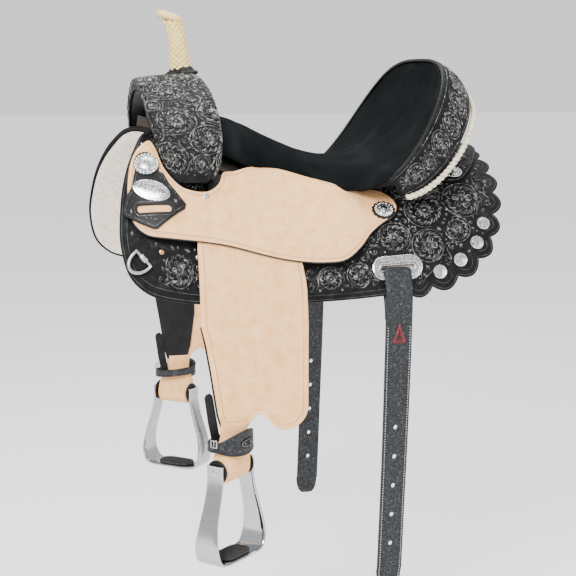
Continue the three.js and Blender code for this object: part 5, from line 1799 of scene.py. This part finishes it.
def build_stirrup():
    fine = catmull(STIRRUP_STATIONS, 7)
    line = np.vstack([fine * (-1, 1, 1), fine[:-1][::-1]])
    centre = line[:, :2]
    tangent = np.gradient(centre, axis=0)
    tangent = unit(tangent)
    normal = np.stack([-tangent[:, 1], tangent[:, 0]], 1)
    middle = np.array([0, -480.0])
    flip = np.where(np.sum(normal * (middle - centre), axis=1)[:, None] > 0, 1, -1)
    normal = normal * flip
    rows = []
    section = [
        (-0.5, 0.25), (-0.5, 0.75), (-0.455, 1.0), (-0.3, 1.06), (0, 1.09), (0.3, 1.06), (0.455, 1.0), (0.5, 0.75),
        (0.5, 0.25), (0.455, 0.0), (0.3, -0.0), (0, 0.0), (-0.3, 0.0), (-0.455, 0.0)]
    for (x, z), n, depth in zip(centre, normal, line[:, 2]):
        ring = []
        for a, b in section:
            out = (x, z) + n * (BAND * (0.5 - b))
            ring.append((out[0], a * depth, out[1]))
        rows.append(ring)
    rows = np.array(rows)
    points = local(rows[..., 0], rows[..., 1], rows[..., 2])
    shape = Shape()
    shape.skin(points)
    emit_pair("stirrup_bow", shape, ALUMINIUM, "stirrup_body", ["stirrup"], sharp=55)
    tread = Shape()
    outline = racetrack(0, 0, 66, 36, steps=14)
    place = lambda u, v, n: local(np.asarray(u, float), np.asarray(v, float), np.asarray(n, float))
    cut_sheet(tread, outline, place, -537.0, 3.6, [], 4.0, edge=1.0)
    for k in range(15):
        x = -28 + 4.0 * k
        half = 18 if abs(x) < 15 else math.sqrt(max(4, 18 ** 2 - (abs(x) - 15) ** 2))
        path = [local(x, y, -533.0) for y in np.linspace(-half + 1.4, half - 1.4, 9)]
        tube(tread, path, [1.0, 1.35, 1.35, 1.35, 1.35, 1.35, 1.35, 1.35, 1.0], 8, squash=1.0)
    emit_pair("tread_rubber", tread, RUBBER, "stirrup_body", ["stirrup_tread"])


def build_hobble():
    """The strap round the neck of the leathers, with its badge and buckle."""
    shape, trim = Shape(), Shape()
    turns = np.linspace(0, 2 * math.pi, 96, endpoint=False)
    rows, low_edge, high_edge = [], [], []
    for t in turns:
        z = -367 + 4 * math.cos(t)
        half = 6.5 + 12 * max(0, math.cos(t + 1.2)) ** 1.4
        ring = []
        for a, rx, ry in ((-1, 33.1, 21.7), (-0.5, 33.1, 21.7), (0, 33.1, 21.7), (0.5, 33.1, 21.7), (1, 33.1, 21.7),
                          (0.97, 35.6, 24.2), (0.8, 36.0, 24.6), (0, 36.3, 24.9), (-0.8, 36.0, 24.6),
                          (-0.97, 35.6, 24.2)):
            ring.append(local(rx * math.cos(t), ry * math.sin(t), z + half * a, True))
        rows.append(ring)
        low_edge.append(local(36.1 * math.cos(t), 24.7 * math.sin(t), z - half + 1.9, True))
        high_edge.append(local(36.1 * math.cos(t), 24.7 * math.sin(t), z + half - 1.9, True))
    shape.skin(rows, loop_rows=True)
    emit_pair("hobble_leather", shape, STRAP, "fender_drop", ["hobble_strap"])
    for edge in (low_edge, high_edge):
        tube(trim, edge, 0.75, 8, closed=True)
    emit_pair("hobble_edges", trim, EDGE, "fender_drop")
    # a plain oval badge on the outer face
    badge = Shape()
    middle_turn = -1.12

    def ring_point(t, v, n):
        z = -367 + 4 * np.cos(t)
        return local((36.2 + n) * np.cos(t), (24.8 + n) * np.sin(t), z + v, True)

    def wrap(u, v, n):
        return ring_point(middle_turn + np.asarray(u, float) / 31.0, np.asarray(v, float), np.asarray(n, float))

    angles = np.linspace(0, 2 * math.pi, 40, endpoint=False)
    oval = np.stack([13.0 * np.cos(angles), 6.6 * np.sin(angles)], 1)
    cut_sheet(badge, oval, wrap, 0.2, 1.5, [], 2.2, edge=0.6)
    emit_pair("hobble_badge", badge, BLACK, "fender_drop")
    art = Tooling(61)
    art.ridge(closed_path(np.stack([11.2 * np.cos(angles), 5.0 * np.sin(angles)], 1)), 0.7, 0.4)
    for sign in (-1, 1):
        art.arc((sign * 5.2, 0), 2.6, 0.5 + sign, sign * 5.8, 0.7, 0.8, 0.4)
    emit_pair("hobble_badge_scroll", art.shape(wrap, 1.7), STEEL, "fender_drop")
    buckle = Shape()
    frame_path = [local(-40.2, y, z, False) for y, z in ((-5.0, -367), (-5.0, -357), (5.0, -357), (5.0, -367))]
    tube(buckle, resample(np.array(frame_path), 2.5, True), 0.9, 8, closed=True)
    tube(buckle, [local(-40.2, 0, -357.5), local(-40.4, 0, -366.6)], 0.7, 8)
    emit_pair("hobble_buckle_frame", buckle, STEEL, "fender_drop", ["hobble_buckle"])


# ---- CAD nodes that stay, lights and floor ----
def dress_cad():
    dress = {
        "tree_bar": WOOD, "tree_cantle": WOOD, "tree_fork": BLACK, "ground_seat": BLACK, "horn_core": STEEL,
        "stirrup_leather_top": BLACK, "keeper_concho": SILVER, "jockey_concho": SILVER, "rear_concho": SILVER,
    }
    for made in bpy.data.objects:
        if made.type != "MESH":
            continue
        for stem, material in dress.items():
            if made.name.startswith(stem):
                made.data.materials.clear()
                made.data.materials.append(material)


def build_world():
    floor_material, _, _, floor_shader = new_material("pale_floor", (0.95, 0.95, 0.95), 0.9)
    floor_shader.inputs["Emission Color"].default_value = (1, 1, 1, 1)
    floor_shader.inputs["Emission Strength"].default_value = 0.25
    bpy.ops.mesh.primitive_plane_add(size=60, location=(0, 0, -0.80))
    floor = bpy.context.object
    floor.name = "floor"
    floor.data.materials.append(floor_material)
    floor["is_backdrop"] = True
    world = bpy.data.worlds.new("studio")
    bpy.context.scene.world = world
    world.use_nodes = True
    background = world.node_tree.nodes["Background"]
    background.inputs[0].default_value = (1.0, 1.0, 1.0, 1)
    background.inputs[1].default_value = 1.1
    for name, at, aim, size, power in (
            ("key", (-1.3, -1.9, 1.5), (0, 0, -0.1), 1.1, 110),
            ("fill", (1.9, -1.7, 0.4), (0, 0, -0.15), 1.4, 22),
            ("top", (0.1, 0.5, 2.1), (0, 0, 0), 1.6, 60)):
        data = bpy.data.lights.new(name, "AREA")
        data.energy = power
        data.size = size
        lamp = bpy.data.objects.new(name, data)
        bpy.context.scene.collection.objects.link(lamp)
        lamp.location = at
        lamp.rotation_euler = (Vector(at) - Vector(aim)).to_track_quat("Z", "Y").to_euler()


build_fleece()
build_skirt()
build_jockey()
build_keeper()
build_rear_jockey()
build_concho("keeper_round_concho", -253, 165, keeper_top, 18.5, 6, ["keeper_concho"], 20)
build_concho("jockey_round_concho", 105, 174, jockey_top, 14.5, 6, ["jockey_concho"], 18, rosette=17.5)
build_concho("rear_round_concho", 234, 119, SKIRT + GAP + 3.0, 14, 6, ["rear_concho"], 18)
small_studs()
build_oval_plate()
build_rear_plate()
build_front_plate()
build_billet()
build_dee()
build_swell()
build_horn()
build_seat()
build_cantle()
build_fender()
build_neck()
build_stirrup()
build_hobble()
dress_cad()
build_world()

low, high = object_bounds()
{"cad": [list(CAD_BOX[0]), list(CAD_BOX[1])], "visual": [list(low), list(high)]}
